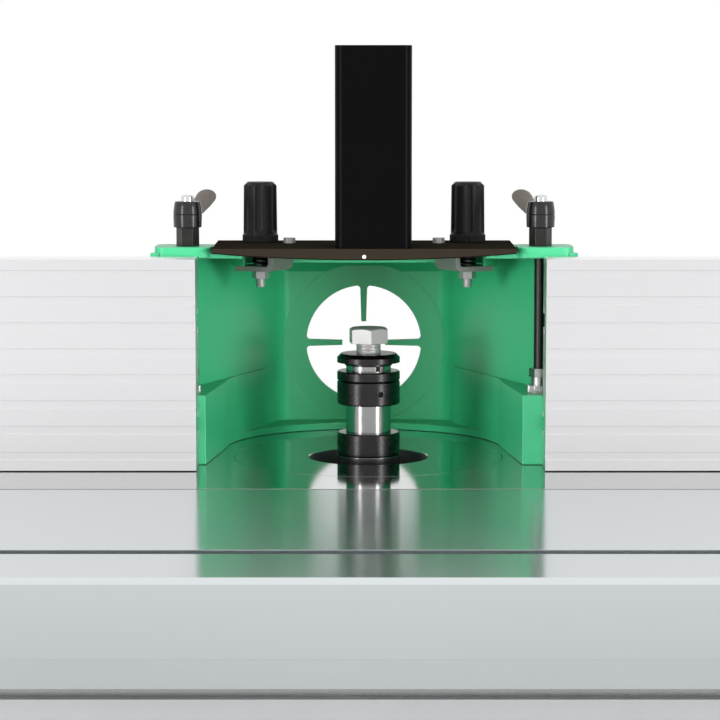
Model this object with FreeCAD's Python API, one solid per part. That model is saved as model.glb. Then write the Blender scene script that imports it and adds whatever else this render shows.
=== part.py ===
import FreeCAD, Part
import math
import os
from FreeCAD import Vector

# Floor-standing spindle moulder.
# Lengths are millimetres. Every piece is drawn about the spindle axis, with z zero at the table top,
# X along the feed, Y away from the operator and Z up. The last lines move the pieces so that the
# origin lies on the floor, under the middle of the machine.

# Fits and cuts
overrun = 6.0
fit = 0.05
slip = 0.4
seat_gap = 0.3

# Table
table_height = 890.0
table_half_length = 500.0
table_front = 139.0
table_back = 275.0
table_depth = 40.0
table_skin = 14.0
table_skirt = 12.0
table_corner = 10.0
pad_half_length = 140.0
rim_rib = 22.0
ring_radius = 89.7
ring_gap = 0.45
ring_thickness = 12.0
ring_ledge = 9.0
ring_hole = 39.5
ring_chamfer = 1.0

# Cabinet
cabinet_half_width = 310.0
cabinet_front = 130.0
cabinet_back = 245.0
sheet = 3.0
cabinet_corner = 36.0
corner_reach = 60.0
base_thickness = 10.0
base_overhang = 40.0
base_lip = 12.0
base_corner = 18.0
anchor_radius = 6.5
anchor_inset = 20.0
foot_height = 22.0
foot_pad_radius = 32.0
foot_pad_height = 10.0
foot_neck_radius = 13.0
foot_inset = 48.0
gland_inset = 40.0
gland_rise = 120.0
gland_bore = 7.0
gland_radius = 10.0
gland_nut_flats = 27.0
gland_nut = 8.0
gland_cap = 14.0

# Door on the right-hand side
door_gap = 2.0
louvre_count = 7
louvre_length = 120.0
louvre_height = 7.0
louvre_pitch = 22.0
louvre_drop = 110.0
hinge_pin_radius = 3.0
hinge_knuckle_radius = 6.0
hinge_knuckle_length = 32.0
hinge_leaf = 2.0
hinge_leaf_reach = 26.0
hinge_end = 120.0
latch_radius = 15.0
latch_height = 12.0
latch_stem = 6.0
latch_inset = 34.0
latch_grip_width = 7.0
latch_grip_height = 9.0

# Spindle and what it carries
spindle_radius = 15.0
shoulder_radius = 21.0
shoulder_top = 1.6
shoulder_gap = 1.6
spindle_top = 62.0
lower_ring_height = 15.4
collar_bottom = 36.0
collar_height = 15.8
collar_screw_hole = 1.8
collar_screw_turn = 23.0
thin_ring_height = 6.5
ring_edge = 0.8
flange_hub_radius = 15.8
flange_hub_height = 2.0
flange_radius = 21.0
flange_height = 6.0
flange_bevel = 2.6
bolt_radius = 8.0
bolt_thread = 38.0
bolt_head_bottom = 76.8
bolt_head_height = 10.4
bolt_head_flats = 24.0
bolt_head_bevel = 1.4
bolt_head_turn = 37.5
pulley_seat_radius = 12.5
shaft_tail = 5.0

# Spindle housing, which rises and falls
housing_radius = 50.0
housing_room = 16.0
housing_length = 246.0
housing_bore = 27.0
bearing_radius = 31.0
bearing_height = 20.0
bearing_setback = 8.0
cap_height = 8.0
cap_radius = 44.0
bracket_half_width = 98.0
bracket_drop = 12.0
bracket_height = 100.0
guide_x = 70.0
guide_setback = 86.0
guide_radius = 12.5
bracket_wall = 14.0
nut_radius = 16.0
nut_flange_radius = 25.0
nut_flange = 6.0
screw_radius = 9.0
screw_journal_radius = 7.5
screw_end_gap = 16.0
bridge_half_width = 98.0
bridge_half_depth = 27.0
bridge_thickness = 20.0

# Motor and belt drive
motor_setback = 150.0
motor_radius = 72.0
motor_length = 214.0
motor_wall = 22.0
motor_end_wall = 16.0
motor_fin_count = 20
motor_fin_height = 4.0
motor_fin_width = 3.0
motor_shaft_radius = 12.0
rotor_gap = 0.6
rotor_end_gap = 6.0
terminal_box_width = 70.0
terminal_box_height = 60.0
terminal_box_depth = 34.0
motor_plate_thickness = 12.0
motor_plate_half_width = 86.0
motor_plate_front = 52.0
motor_plate_margin = 10.0
pulley_gap = 8.0
pulley_height = 34.0
pulley_flange = 4.0
pulley_flange_thickness = 4.0
spindle_pulley_radius = 28.0
motor_pulley_radius = 60.0
belt_thickness = 4.0
belt_width = 24.0
belt_gap = 0.3

# Handwheel and bevel gears for the rise and fall
gear_teeth = 18
gear_radius = 24.0
gear_face = 9.0
gear_hub = 7.0
gear_addendum = 1.3
gear_dedendum = 2.1
gear_hub_radius = 15.0
tooth_thickness_share = 0.38
tooth_flank_angle = 20.0
gear_room = 30.0
lift_drop = 95.0
lift_rise = 20.0
wheel_shaft_radius = 8.0
wheel_radius = 90.0
wheel_rim_radius = 9.0
wheel_hub_radius = 20.0
wheel_hub_length = 34.0
wheel_web = 7.0
wheel_standoff = 14.0
bush_radius = 26.0
bush_flange = 6.0
bush_barrel_radius = 13.0
bush_tail = 5.0
grip_radius = 11.0
grip_neck_radius = 7.0
grip_length = 62.0
grip_pin_radius = 5.0
grip_gap = 1.0

# Control box
control_inset = 39.0
control_half_width = 46.0
control_drop = 16.0
control_height = 138.0
control_depth = 58.0
control_corner = 8.0
start_drop = 40.0
stop_drop = 96.0
start_radius = 11.0
start_reach = 5.0
start_travel = 3.0
bezel_width = 4.0
bezel_height = 3.0
stop_radius = 18.0
stop_stem_radius = 9.0
stop_reach = 9.0
stop_head = 9.0
stop_travel = 4.0
button_depth = 14.0

# Sliding table and its rail
slide_gap = 2.5
slide_width = 284.5
slide_half_length = 650.0
slide_depth = 42.0
slide_wall = 5.0
slide_edge = 3.0
slot_inset = 74.0
slot_mouth = 12.0
slot_mouth_depth = 6.0
slot_chamber = 22.0
slot_chamber_depth = 8.0
slide_chamber_count = 3
rod_radius = 10.0
rod_drop = 68.0
rod_inset = 61.0
rod_rear_inset = 63.5
runner_width = 36.0
rail_half_length = 600.0
rail_margin = 40.0
rail_top = 92.0
rail_height = 36.0
rail_wall = 5.0
rail_chamber_count = 2
rail_ridge = 12.0
rail_seat_share = 0.5
bracket_plate = 14.0
bracket_foot_height = 190.0
bracket_tip_height = 34.0
bracket_pad = 60.0
bracket_pad_thickness = 8.0

# Hood over the cutter
hood_offset = 3.0
hood_front = 39.3
hood_back = 150.0
hood_wall = 5.0
hood_front_half = 134.0
hood_back_half = 60.0
hood_corner = 16.0
hood_gap = 0.3
hood_floor_top = 5.0
ledge_top = 46.0
ledge_end = 135.0
throat_margin = 1.43
throat_setback = 40.0
cheek_width = 30.0
roof_bottom = 135.6
roof_top = 139.6
roof_setback = 6.0
roof_fall = 4.5
roof_fall_start = 60.0
notch_side_room = 10.0
notch_rear_room = 13.0
notch_corner = 12.0
rim_width = 9.0
rim_depth = 7.6
rim_front = 2.0
cove = 22.0
lug_overhang = 3.0
lug_gap = 0.8
lug_width = 36.6
lug_depth = 36.0
lug_bottom = 136.3
lug_top = 143.2
lug_corner = 7.0
flange_reach = 46.0
front_flange = 8.0
port_height = 61.6
port_radius = 41.8
port_ring_radius = 58.5
port_ring_depth = 1.2
spoke_rim_width = 5.2
spoke_tip_width = 3.6
port_corner = 2.4
spoke_inner_radius = 15.5
spoke_count = 4
spigot_radius = 60.0
spigot_wall = 4.0
spigot_length = 60.0
ear_front = 42.0
ear_back = 142.0
ear_margin = 24.0
ear_thickness = 8.0
hold_down_inset = 6.0
hold_down_back = 97.0
hold_down_radius = 5.0
hold_down_thread = 24.0
hold_down_flats = 17.0
hold_down_head = 6.5
washer_radius = 12.0
washer_thickness = 2.5
hood_travel_front = 30.0
hood_travel_back = 40.0

# Clamp rods and clamp levers
clamp_rod_inset = 18.0
rod_setback = 22.0
clamp_rod_radius = 3.9
rod_hex_flats = 13.0
rod_hex_height = 12.0
rod_pin_length = 11.0
ferrule_knurl_radius = 7.8
ferrule_knurl_height = 5.2
ferrule_neck_radius = 5.6
ferrule_neck_height = 5.4
ferrule_nut_flats = 12.0
ferrule_nut_height = 5.6
hub_bottom_radius = 9.25
hub_middle_radius = 9.6
hub_top_radius = 8.4
hub_height = 17.0
hub_middle = 8.5
hub_edge = 1.2
button_radius = 4.2
button_height = 4.2
arm_length = 64.0
arm_turn = 9.0
arm_rise = 10.6
arm_half_width = 7.0
arm_half_height = 5.6
arm_place_shares = (0.0, 0.2, 0.4, 0.58, 0.75, 0.94, 1.0)
arm_rise_shares = (0.0, 0.04, 0.15, 0.37, 0.61, 0.9, 1.0)
arm_width_shares = (0.82, 0.77, 0.75, 0.83, 0.93, 1.0, 0.57)
arm_height_shares = (1.0, 0.87, 0.79, 0.83, 0.875, 0.875, 0.5)
arm_root_height = 8.6

# Fence plates
fence_front = 68.4
fence_back = 40.0
fence_bottom = 0.6
fence_top = 137.3
left_fence_end = 111.5
right_fence_end = 114.0
fence_length = 420.0
groove_count = 8
groove_first = 7.0
groove_pitch = 16.8
groove_height = 5.1
groove_depth = 0.7
tee_low = 28.0
tee_high = 96.0
tee_outset = 26.0
tee_mouth = 9.0
tee_mouth_depth = 5.0
tee_chamber = 17.0
tee_chamber_depth = 8.0
tee_head_half = 8.0
tee_bolt_radius = 4.0
tee_nut_flats = 13.0
tee_nut_height = 7.0
tee_tail = 6.0

# Guard plate, its post, clips and knobs
guard_thickness = 2.8
guard_front = 48.0
guard_taper = 0.6
guard_rear = 43.5
guard_corner = 1.2
apron_reach = 7.0
apron_edge = 2.6
apron_angle = 70.0
post_offset = 6.0
post_size = 50.0
post_wall = 3.0
post_corner = 6.0
post_setback = 2.0
post_height = 131.2
post_cap = 4.0
knob_inset = 29.6
knob_setback = 24.0
knob_base_radius = 11.7
knob_top_radius = 11.1
knob_height = 40.4
knob_ring = 5.0
knob_ring_step = 0.25
knob_dome = 2.5
flute_count = 6
flute_radius = 4.4
flute_bite = 1.4
stud_radius = 3.0
stud_bottom = 112.5
stud_into_knob = 26.0
stud_nut_flats = 10.0
stud_nut_height = 5.6
clip_thickness = 3.4
clip_drop = 0.8
clip_half_width = 14.0
clip_jaw = 12.0
clip_web = 14.0
clip_margin = 7.0
clip_angle = 28.5
clip_bend = 5.4
clip_hole_gap = 0.4
spring_radius = 5.0
spring_wire = 0.8
spring_turns = 4
spring_end_gap = 0.3
knob_gap = 1.2
guard_screw_radius = 2.5
guard_screw_flats = 7.0
guard_screw_head = 3.6
guard_screw_tail = 3.0

# Places that several pieces share
cabinet_top = -table_depth
base_bottom = foot_height - table_height
base_top = base_bottom + base_thickness
slide_back = -(table_front + slide_gap)
slide_front = slide_back - slide_width
slot_setback = -slide_front - slot_inset
rod_front = -slide_front - rod_inset
rod_rear = rod_rear_inset - slide_back
rail_front = rod_front + rail_margin
rail_rear = rod_rear - rail_margin
bracket_x = cabinet_half_width - corner_reach
gland_x = bracket_x - gland_inset
control_x = bracket_x - control_inset - control_half_width
hood_slope = (hood_front_half - hood_back_half) / (hood_front + hood_back)
hood_slant = math.hypot(1.0, hood_slope)
wall_across = hood_wall * hood_slant
throat_front_half = hood_front_half - cheek_width
throat_half = hood_front_half - hood_slope * (throat_setback + hood_front)
throat_radius = throat_half / hood_slant - throat_margin
lip_start = throat_setback + throat_radius * hood_slope / hood_slant
front_flange_half = hood_front_half + flange_reach
tee_x = hood_front_half + tee_outset
rod_x = hood_front_half - clamp_rod_inset
hold_down_x = hood_front_half - hold_down_inset
ear_reach = hold_down_x + ear_margin
hood_outer_back = hood_back + hood_wall
housing_top = table_depth + lift_rise + cap_height + housing_room
housing_bottom = -housing_top - housing_length
bracket_top = housing_top + bracket_drop
shoulder_bottom = cap_height - housing_top + shoulder_gap
pulley_top = housing_bottom - motor_plate_thickness - pulley_gap
pulley_bottom = pulley_top - pulley_height
gear_apex = -(bracket_top + bracket_height + lift_drop + gear_radius + gear_addendum + gear_room)
bridge_top = gear_apex - gear_radius - gear_hub - seat_gap
bridge_bottom = bridge_top - bridge_thickness
wheel_plane = -(cabinet_front + bush_flange + wheel_standoff + wheel_hub_length / 2)
control_top = rail_top + rail_height + control_drop
control_face = -cabinet_front - control_depth
guard_bottom = roof_top + slip
guard_top = guard_bottom + guard_thickness
clip_top = roof_bottom - rim_depth - clip_drop
lever_bottom = lug_top + rod_hex_height + seat_gap
lug_outer = hood_front_half + lug_overhang
lug_inner = lug_outer - lug_width
guard_half_length = lug_inner - lug_gap
guard_front_half = guard_half_length - guard_taper
knob_x = guard_half_length - knob_inset
notch_half = knob_x + notch_side_room
notch_rear = knob_setback + notch_rear_room
post_front = post_setback - guard_front
screw_place = clip_web + clip_thickness + guard_screw_flats / math.sqrt(3) + knob_gap
hinge_x = cabinet_half_width + hinge_knuckle_radius + slip
hinge_y = cabinet_back - corner_reach - door_gap / 2
door_front = corner_reach - cabinet_front + door_gap
door_rear = cabinet_back - corner_reach - door_gap
door_bottom = base_top + door_gap
door_top = cabinet_top - door_gap
hinge_places = (door_bottom + hinge_end, door_top - hinge_end)
latch_y = door_front + latch_inset
latch_z = (door_bottom + door_top) / 2
grip_z = gear_apex + wheel_radius - wheel_rim_radius
grip_back = wheel_plane - wheel_rim_radius - grip_gap
grip_front = grip_back - grip_length


# Plain shapes

def block(x0, x1, y0, y1, z0, z1):
    """Box between two corners."""
    return Part.makeBox(x1 - x0, y1 - y0, z1 - z0, Vector(x0, y0, z0))


def upright(radius, x, y, z0, z1):
    """Cylinder along Z."""
    return Part.makeCylinder(radius, z1 - z0, Vector(x, y, z0))


def bar_x(radius, y, z, x0, x1):
    """Cylinder along X."""
    return Part.makeCylinder(radius, x1 - x0, Vector(x0, y, z), Vector(1, 0, 0))


def bar_y(radius, x, z, y0, y1):
    """Cylinder along Y."""
    return Part.makeCylinder(radius, y1 - y0, Vector(x, y0, z), Vector(0, 1, 0))


def face_of(points):
    """Flat face inside a closed run of points."""
    return Part.Face(Part.makePolygon(points + points[:1]))


def plan(points, z0, z1):
    """Outline in XY, carried up from z0 to z1."""
    return face_of([Vector(x, y, z0) for x, y in points]).extrude(Vector(0, 0, z1 - z0))


def section(points, x0, x1):
    """Outline in YZ, carried along X."""
    return face_of([Vector(x0, y, z) for y, z in points]).extrude(Vector(x1 - x0, 0, 0))


def turned(points, x, y):
    """Outline of radius and z, turned about an upright axis."""
    face = face_of([Vector(x + radius, y, z) for radius, z in points])
    return face.revolve(Vector(x, y, 0), Vector(0, 0, 1), 360)


def turned_y(points, x, z):
    """Outline of radius and y, turned about an axis along Y."""
    face = face_of([Vector(x + radius, y, z) for radius, y in points])
    return face.revolve(Vector(x, 0, z), Vector(0, 1, 0), 360)


def tube(inner, outer, edge, x, y, z0, z1):
    """Upright ring with bevelled outer edges."""
    points = [(inner, z0), (outer - edge, z0), (outer, z0 + edge)]
    points += [(outer, z1 - edge), (outer - edge, z1), (inner, z1)]
    return turned(points, x, y)


def hex_bar(flats, x, y, z0, z1):
    """Hexagonal bar along Z, a corner to the right."""
    radius = flats / math.sqrt(3)
    turns = [math.radians(60 * i) for i in range(6)]
    return plan([(x + radius * math.cos(t), y + radius * math.sin(t)) for t in turns], z0, z1)


def hex_bar_y(flats, x, z, y0, y1):
    """Hexagonal bar along Y."""
    bar = hex_bar(flats, 0, 0, 0, y1 - y0)
    bar.rotate(Vector(), Vector(1, 0, 0), -90)
    bar.translate(Vector(x, y0, z))
    return bar


def joined(first, *others):
    """One solid out of several that meet."""
    return first.fuse(list(others)).removeSplitter()


def group(shapes):
    """Separate solids kept in one node."""
    return Part.makeCompound(list(shapes))


def is_upright(edge):
    """True for a straight edge along Z."""
    direction = edge.Vertexes[-1].Point - edge.Vertexes[0].Point
    return direction.Length > 0 and direction.Length == abs(direction.z)


def rounded(x0, x1, y0, y1, z0, z1, radius):
    """Box with its four upright edges rounded."""
    box = block(x0, x1, y0, y1, z0, z1)
    return box.makeFillet(radius, [edge for edge in box.Edges if is_upright(edge)])


def other_hand(shape):
    """The same piece on the left of the plane of symmetry."""
    return shape.mirror(Vector(), Vector(1, 0, 0))


def moved(shape, x, y, z):
    """Copy of a shape, set over by x, y and z."""
    copy = shape.copy()
    copy.translate(Vector(x, y, z))
    return copy


def at_hood(shape):
    """Piece drawn about the hood's middle, set in its place."""
    return moved(shape, -hood_offset, 0, 0)


# Cabinet

def cabinet_ring():
    """Folded sheet all round the cabinet, before it is parted into panels."""
    outer = rounded(-cabinet_half_width, cabinet_half_width, -cabinet_front, cabinet_back,
                    base_top, cabinet_top, cabinet_corner)
    inner = rounded(sheet - cabinet_half_width, cabinet_half_width - sheet,
                    sheet - cabinet_front, cabinet_back - sheet,
                    base_top - overrun, cabinet_top + overrun, cabinet_corner - sheet)
    return outer.cut(inner)


def corner_posts():
    """Rounded corners of the cabinet."""
    side = cabinet_half_width - corner_reach
    corners = []
    for x0, x1 in ((-cabinet_half_width, -side), (side, cabinet_half_width)):
        for y0, y1 in ((-cabinet_front, corner_reach - cabinet_front),
                       (cabinet_back - corner_reach, cabinet_back)):
            corners.append(cabinet_ring().common(block(x0, x1, y0, y1, base_top, cabinet_top)))
    return group(corners)


def front_panel():
    """Front of the cabinet, with the hole for the handwheel's bush."""
    side = cabinet_half_width - corner_reach
    panel = block(-side, side, -cabinet_front, sheet - cabinet_front, base_top, cabinet_top)
    return panel.cut(bar_y(bush_barrel_radius + fit, 0, gear_apex, -cabinet_front - overrun,
                           overrun - cabinet_front + sheet))


def rear_panel():
    """Back of the cabinet, with the hole for the cable gland."""
    side = cabinet_half_width - corner_reach
    panel = block(-side, side, cabinet_back - sheet, cabinet_back, base_top, cabinet_top)
    return panel.cut(bar_y(gland_radius + fit, gland_x, base_top + gland_rise,
                           cabinet_back - sheet - overrun, cabinet_back + overrun))


def left_panel():
    """Left side of the cabinet."""
    return block(-cabinet_half_width, sheet - cabinet_half_width, corner_reach - cabinet_front,
                 cabinet_back - corner_reach, base_top, cabinet_top)


def base_plate():
    """Steel plate under the cabinet, drilled for floor anchors."""
    half = cabinet_half_width + base_overhang
    front = cabinet_front + base_lip
    back = cabinet_back + base_lip
    plate = rounded(-half, half, -front, back, base_bottom, base_top, base_corner)
    holes = [upright(anchor_radius, x, y, base_bottom - overrun, base_top + overrun)
             for x in (anchor_inset - half, half - anchor_inset)
             for y in (foot_inset - front, back - foot_inset)]
    return plate.cut(holes)


def levelling_feet():
    """Four feet under the base plate."""
    floor = -table_height
    profile = [(0, floor), (foot_pad_radius, floor), (foot_pad_radius, floor + foot_pad_height),
               (foot_neck_radius, floor + foot_pad_height), (foot_neck_radius, base_bottom), (0, base_bottom)]
    side = cabinet_half_width - foot_inset
    return group(turned(profile, x, y) for x in (-side, side)
                 for y in (foot_inset - cabinet_front, cabinet_back - foot_inset))


def cable_gland():
    """Gland for the mains lead, through the rear panel."""
    z = base_top + gland_rise
    stem = bar_y(gland_radius, gland_x, z, cabinet_back - sheet - gland_nut, cabinet_back)
    nut = hex_bar_y(gland_nut_flats, gland_x, z, cabinet_back, cabinet_back + gland_nut)
    lock = hex_bar_y(gland_nut_flats, gland_x, z, cabinet_back - sheet - gland_nut, cabinet_back - sheet)
    cap = bar_y(gland_radius, gland_x, z, cabinet_back + gland_nut, cabinet_back + gland_nut + gland_cap)
    bore = bar_y(gland_bore, gland_x, z, cabinet_back - sheet - gland_nut - overrun,
                 cabinet_back + gland_nut + gland_cap + overrun)
    return joined(stem, nut, lock, cap).cut(bore)


# Door

def knuckle(z0, z1, y0, y1):
    """Hinge barrel with the leaf that carries it on the sheet."""
    barrel = upright(hinge_knuckle_radius, hinge_x, hinge_y, z0, z1)
    leaf = block(cabinet_half_width, cabinet_half_width + hinge_leaf, y0, y1, z0, z1)
    return joined(barrel, leaf)


def cabinet_door():
    """Side door with louvres and its own hinge knuckles."""
    door = block(cabinet_half_width - sheet, cabinet_half_width, door_front, door_rear, door_bottom, door_top)
    middle = (door_front + door_rear) / 2
    louvres = []
    for i in range(louvre_count):
        z = door_bottom + louvre_drop + i * louvre_pitch
        louvres.append(block(cabinet_half_width - sheet - overrun, cabinet_half_width + overrun,
                             middle - louvre_length / 2, middle + louvre_length / 2, z, z + louvre_height))
    door = door.cut(louvres)
    knuckles = [knuckle(z, z + hinge_knuckle_length, hinge_y - hinge_leaf_reach, hinge_y)
                for z in hinge_places]
    door = joined(door, *knuckles)
    pins = [upright(hinge_pin_radius + fit, hinge_x, hinge_y, z - overrun, z + hinge_knuckle_length + overrun)
            for z in hinge_places]
    stem = bar_x(latch_stem + fit, latch_y, latch_z, cabinet_half_width - sheet - overrun,
                 cabinet_half_width + overrun)
    return door.cut(pins + [stem])


def door_hinges():
    """Fixed hinge halves on the rear corner post, each with its pin."""
    halves = []
    for z in hinge_places:
        low = z - seat_gap - hinge_knuckle_length
        half = knuckle(low, z - seat_gap, hinge_y, hinge_y + hinge_leaf_reach)
        half = half.cut(block(cabinet_half_width - overrun, cabinet_half_width + hinge_leaf,
                              hinge_y - overrun, hinge_y + door_gap / 2, low - overrun, z))
        pin = upright(hinge_pin_radius, hinge_x, hinge_y, low, z + hinge_knuckle_length)
        halves.append(joined(half, pin))
    return group(halves)


def door_latch():
    """Quarter-turn latch in the door, held by a disc behind the sheet."""
    face = cabinet_half_width + seat_gap
    back = cabinet_half_width - sheet - seat_gap
    stem = bar_x(latch_stem, latch_y, latch_z, back, face)
    knob = bar_x(latch_radius, latch_y, latch_z, face, face + latch_height - latch_grip_height)
    grip = block(face, face + latch_height, latch_y - latch_grip_width / 2, latch_y + latch_grip_width / 2,
                 latch_z - latch_radius, latch_z + latch_radius)
    grip = grip.common(bar_x(latch_radius, latch_y, latch_z, face, face + latch_height))
    disc = bar_x(latch_radius, latch_y, latch_z, back - sheet, back)
    return joined(stem, knob, grip, disc)


# Table

def work_table():
    """Cast table, ribbed underneath, with the seat for the insert ring."""
    table = rounded(-table_half_length, table_half_length, -table_front, table_back,
                    -table_depth, 0, table_corner)
    wings = (cabinet_half_width + rim_rib, table_half_length - table_skirt,
             table_skirt - table_front, table_back - table_skirt)
    inside = (pad_half_length, cabinet_half_width - rim_rib,
              rim_rib - cabinet_front, cabinet_back - rim_rib)
    pockets = []
    for x0, x1, y0, y1 in (wings, inside):
        pocket = block(x0, x1, y0, y1, -table_depth - overrun, -table_skin)
        pockets += [pocket, other_hand(pocket)]
    seat = upright(ring_radius + ring_gap, 0, 0, -ring_thickness, overrun)
    well = upright(ring_radius - ring_ledge, 0, 0, -table_depth - overrun, overrun)
    threads = [upright(hold_down_radius + fit, x - hood_offset, hold_down_back, -hold_down_thread, overrun)
               for x in (-hold_down_x, hold_down_x)]
    return table.cut(pockets + [seat, well] + threads)


def table_ring():
    """Removable insert ring round the spindle."""
    profile = [(ring_hole, -ring_thickness), (ring_radius, -ring_thickness), (ring_radius, 0),
               (ring_hole + ring_chamfer, 0), (ring_hole, -ring_chamfer)]
    return turned(profile, 0, 0)


# Spindle

def spindle_shaft():
    """Spindle with its shoulder, the 30 mm arbor and the pulley seat."""
    bottom = pulley_bottom - shaft_tail
    profile = [(0, bottom), (pulley_seat_radius, bottom), (pulley_seat_radius, pulley_top),
               (spindle_radius, pulley_top), (spindle_radius, shoulder_bottom),
               (shoulder_radius, shoulder_bottom), (shoulder_radius, shoulder_top),
               (spindle_radius, shoulder_top), (spindle_radius, spindle_top), (0, spindle_top)]
    thread = upright(bolt_radius + fit, 0, 0, spindle_top - bolt_thread - slip, spindle_top + overrun)
    return turned(profile, 0, 0).cut(thread)


def spacer_rings():
    """Spacer ring on the spindle's shoulder, and the thin one on the collar."""
    collar_top = collar_bottom + collar_height
    inner = spindle_radius + fit
    lower = tube(inner, shoulder_radius, ring_edge, 0, 0, shoulder_top, shoulder_top + lower_ring_height)
    thin = tube(inner, shoulder_radius, ring_edge, 0, 0, collar_top, collar_top + thin_ring_height)
    return group([lower, thin])


def clamp_collar():
    """Collar with its radial set-screw hole."""
    collar = tube(spindle_radius + fit, shoulder_radius, ring_edge, 0, 0,
                  collar_bottom, collar_bottom + collar_height)
    turn = math.radians(collar_screw_turn)
    hole = Part.makeCylinder(collar_screw_hole, shoulder_radius + overrun,
                             Vector(0, 0, collar_bottom + collar_height / 2),
                             Vector(math.sin(turn), -math.cos(turn), 0))
    return collar.cut(hole)


def arbor_flange():
    """Flanged cap that the bolt draws down on the arbor's end."""
    step = spindle_top + flange_hub_height
    top = step + flange_height
    profile = [(bolt_radius + fit, spindle_top), (flange_hub_radius, spindle_top), (flange_hub_radius, step),
               (flange_radius, step), (flange_radius, top - flange_bevel), (flange_radius - flange_bevel, top),
               (bolt_radius + fit, top)]
    return turned(profile, 0, 0)


def arbor_bolt():
    """Hexagon bolt at the top of the arbor."""
    top = bolt_head_bottom + bolt_head_height
    corner = bolt_head_flats / math.sqrt(3)
    shank = upright(bolt_radius, 0, 0, spindle_top - bolt_thread, bolt_head_bottom)
    crown = turned([(0, bolt_head_bottom), (corner, bolt_head_bottom), (corner, top - bolt_head_bevel),
                    (corner - 2 * bolt_head_bevel, top), (0, top)], 0, 0)
    head = hex_bar(bolt_head_flats, 0, 0, bolt_head_bottom, top).common(crown)
    head.rotate(Vector(), Vector(0, 0, 1), bolt_head_turn)
    return joined(shank, head)


# Spindle housing and its lift

def spindle_housing():
    """Bearing tube with the bracket that runs on the guide posts."""
    bottom = -bracket_top - bracket_height
    housing = upright(housing_radius, 0, 0, housing_bottom, -housing_top)
    bracket = block(-bracket_half_width, bracket_half_width,
                    -(guide_setback + guide_radius + bracket_wall), bracket_wall - housing_radius,
                    bottom, -bracket_top)
    bore = upright(housing_bore, 0, 0, housing_bottom - overrun, overrun - housing_top)
    seat_depth = bearing_setback + bearing_height
    seats = [upright(bearing_radius, 0, 0, -housing_top - seat_depth, overrun - housing_top),
             upright(bearing_radius, 0, 0, housing_bottom - overrun, housing_bottom + seat_depth)]
    guides = [upright(guide_radius + fit, x, -guide_setback, bottom - overrun, overrun - bracket_top)
              for x in (-guide_x, guide_x)]
    nut = upright(nut_radius, 0, -guide_setback, bottom - overrun, overrun - bracket_top)
    return joined(housing, bracket).cut([bore, nut] + seats + guides)


def spindle_bearings():
    """Two bearings in the housing's seats."""
    upper = -housing_top - bearing_setback
    lower = housing_bottom + bearing_setback + bearing_height
    return group(tube(spindle_radius + fit, bearing_radius, ring_edge, 0, 0, top - bearing_height, top)
                 for top in (upper, lower))


def bearing_cap():
    """Cover over the upper bearing."""
    profile = [(spindle_radius + slip, -housing_top - bearing_setback),
               (bearing_radius, -housing_top - bearing_setback), (bearing_radius, -housing_top),
               (cap_radius, -housing_top), (cap_radius, cap_height - housing_top),
               (spindle_radius + slip, cap_height - housing_top)]
    return turned(profile, 0, 0)


def lift_nut():
    """Flanged bronze nut in the bracket, on the lift screw."""
    bottom = -bracket_top - bracket_height
    profile = [(screw_radius + fit, bottom - nut_flange), (nut_flange_radius, bottom - nut_flange),
               (nut_flange_radius, bottom), (nut_radius, bottom), (nut_radius, -bracket_top),
               (screw_radius + fit, -bracket_top)]
    return turned(profile, 0, -guide_setback)


def guide_posts():
    """Two posts under the table that guide the spindle housing."""
    return group(upright(guide_radius, x, -guide_setback, bridge_bottom, -table_depth)
                 for x in (-guide_x, guide_x))


def lift_bridge():
    """Plate across the lower ends of the posts, which carries the lift screw."""
    bridge = block(-bridge_half_width, bridge_half_width, -guide_setback - bridge_half_depth,
                   bridge_half_depth - guide_setback, bridge_bottom, bridge_top)
    posts = [upright(guide_radius, x, -guide_setback, bridge_bottom - overrun, bridge_top + overrun)
             for x in (-guide_x, guide_x)]
    journal = upright(screw_journal_radius + fit, 0, -guide_setback,
                      bridge_bottom - overrun, bridge_top + overrun)
    return bridge.cut(posts + [journal])


def lift_screw():
    """Lift screw, with its journal in the bridge."""
    step = bridge_top + seat_gap
    top = -table_depth - screw_end_gap
    profile = [(0, bridge_bottom), (screw_journal_radius, bridge_bottom), (screw_journal_radius, step),
               (screw_radius, step), (screw_radius, top), (0, top)]
    return turned(profile, 0, -guide_setback)


def bevel_gear():
    """Mitre gear below its cone's point, which lies at zero, with its axis along Z."""
    inner_share = (gear_radius - gear_face) / gear_radius
    root = gear_radius - gear_dedendum
    back = -gear_radius - gear_hub
    body = turned([(0, back), (gear_hub_radius, back), (gear_hub_radius, -gear_radius), (root, -gear_radius),
                   (root * inner_share, -gear_radius * inner_share), (0, -gear_radius * inner_share)], 0, 0)
    pitch = 2 * math.pi * gear_radius / gear_teeth
    slope = math.tan(math.radians(tooth_flank_angle))
    half = tooth_thickness_share * pitch / 2
    foot = root - gear_dedendum
    tip = gear_radius + gear_addendum
    wide = half + (gear_radius - foot) * slope
    narrow = half - gear_addendum * slope
    rims = [Vector(foot, -wide, -gear_radius), Vector(tip, -narrow, -gear_radius),
            Vector(tip, narrow, -gear_radius), Vector(foot, wide, -gear_radius)]
    outer = Part.makePolygon(rims + rims[:1])
    inner_rims = [point * inner_share for point in rims]
    inner = Part.makePolygon(inner_rims + inner_rims[:1])
    tooth = Part.makeLoft([outer, inner], True, True)
    teeth = []
    for i in range(gear_teeth):
        turned_tooth = tooth.copy()
        turned_tooth.rotate(Vector(), Vector(0, 0, 1), -90 + 360 * i / gear_teeth)
        teeth.append(turned_tooth)
    return joined(body, *teeth)


def screw_gear():
    """Bevel gear on the lift screw, a tooth turned to the front."""
    gear = moved(bevel_gear(), 0, -guide_setback, gear_apex)
    return gear.cut(upright(screw_radius, 0, -guide_setback, bridge_bottom, 0))


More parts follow.
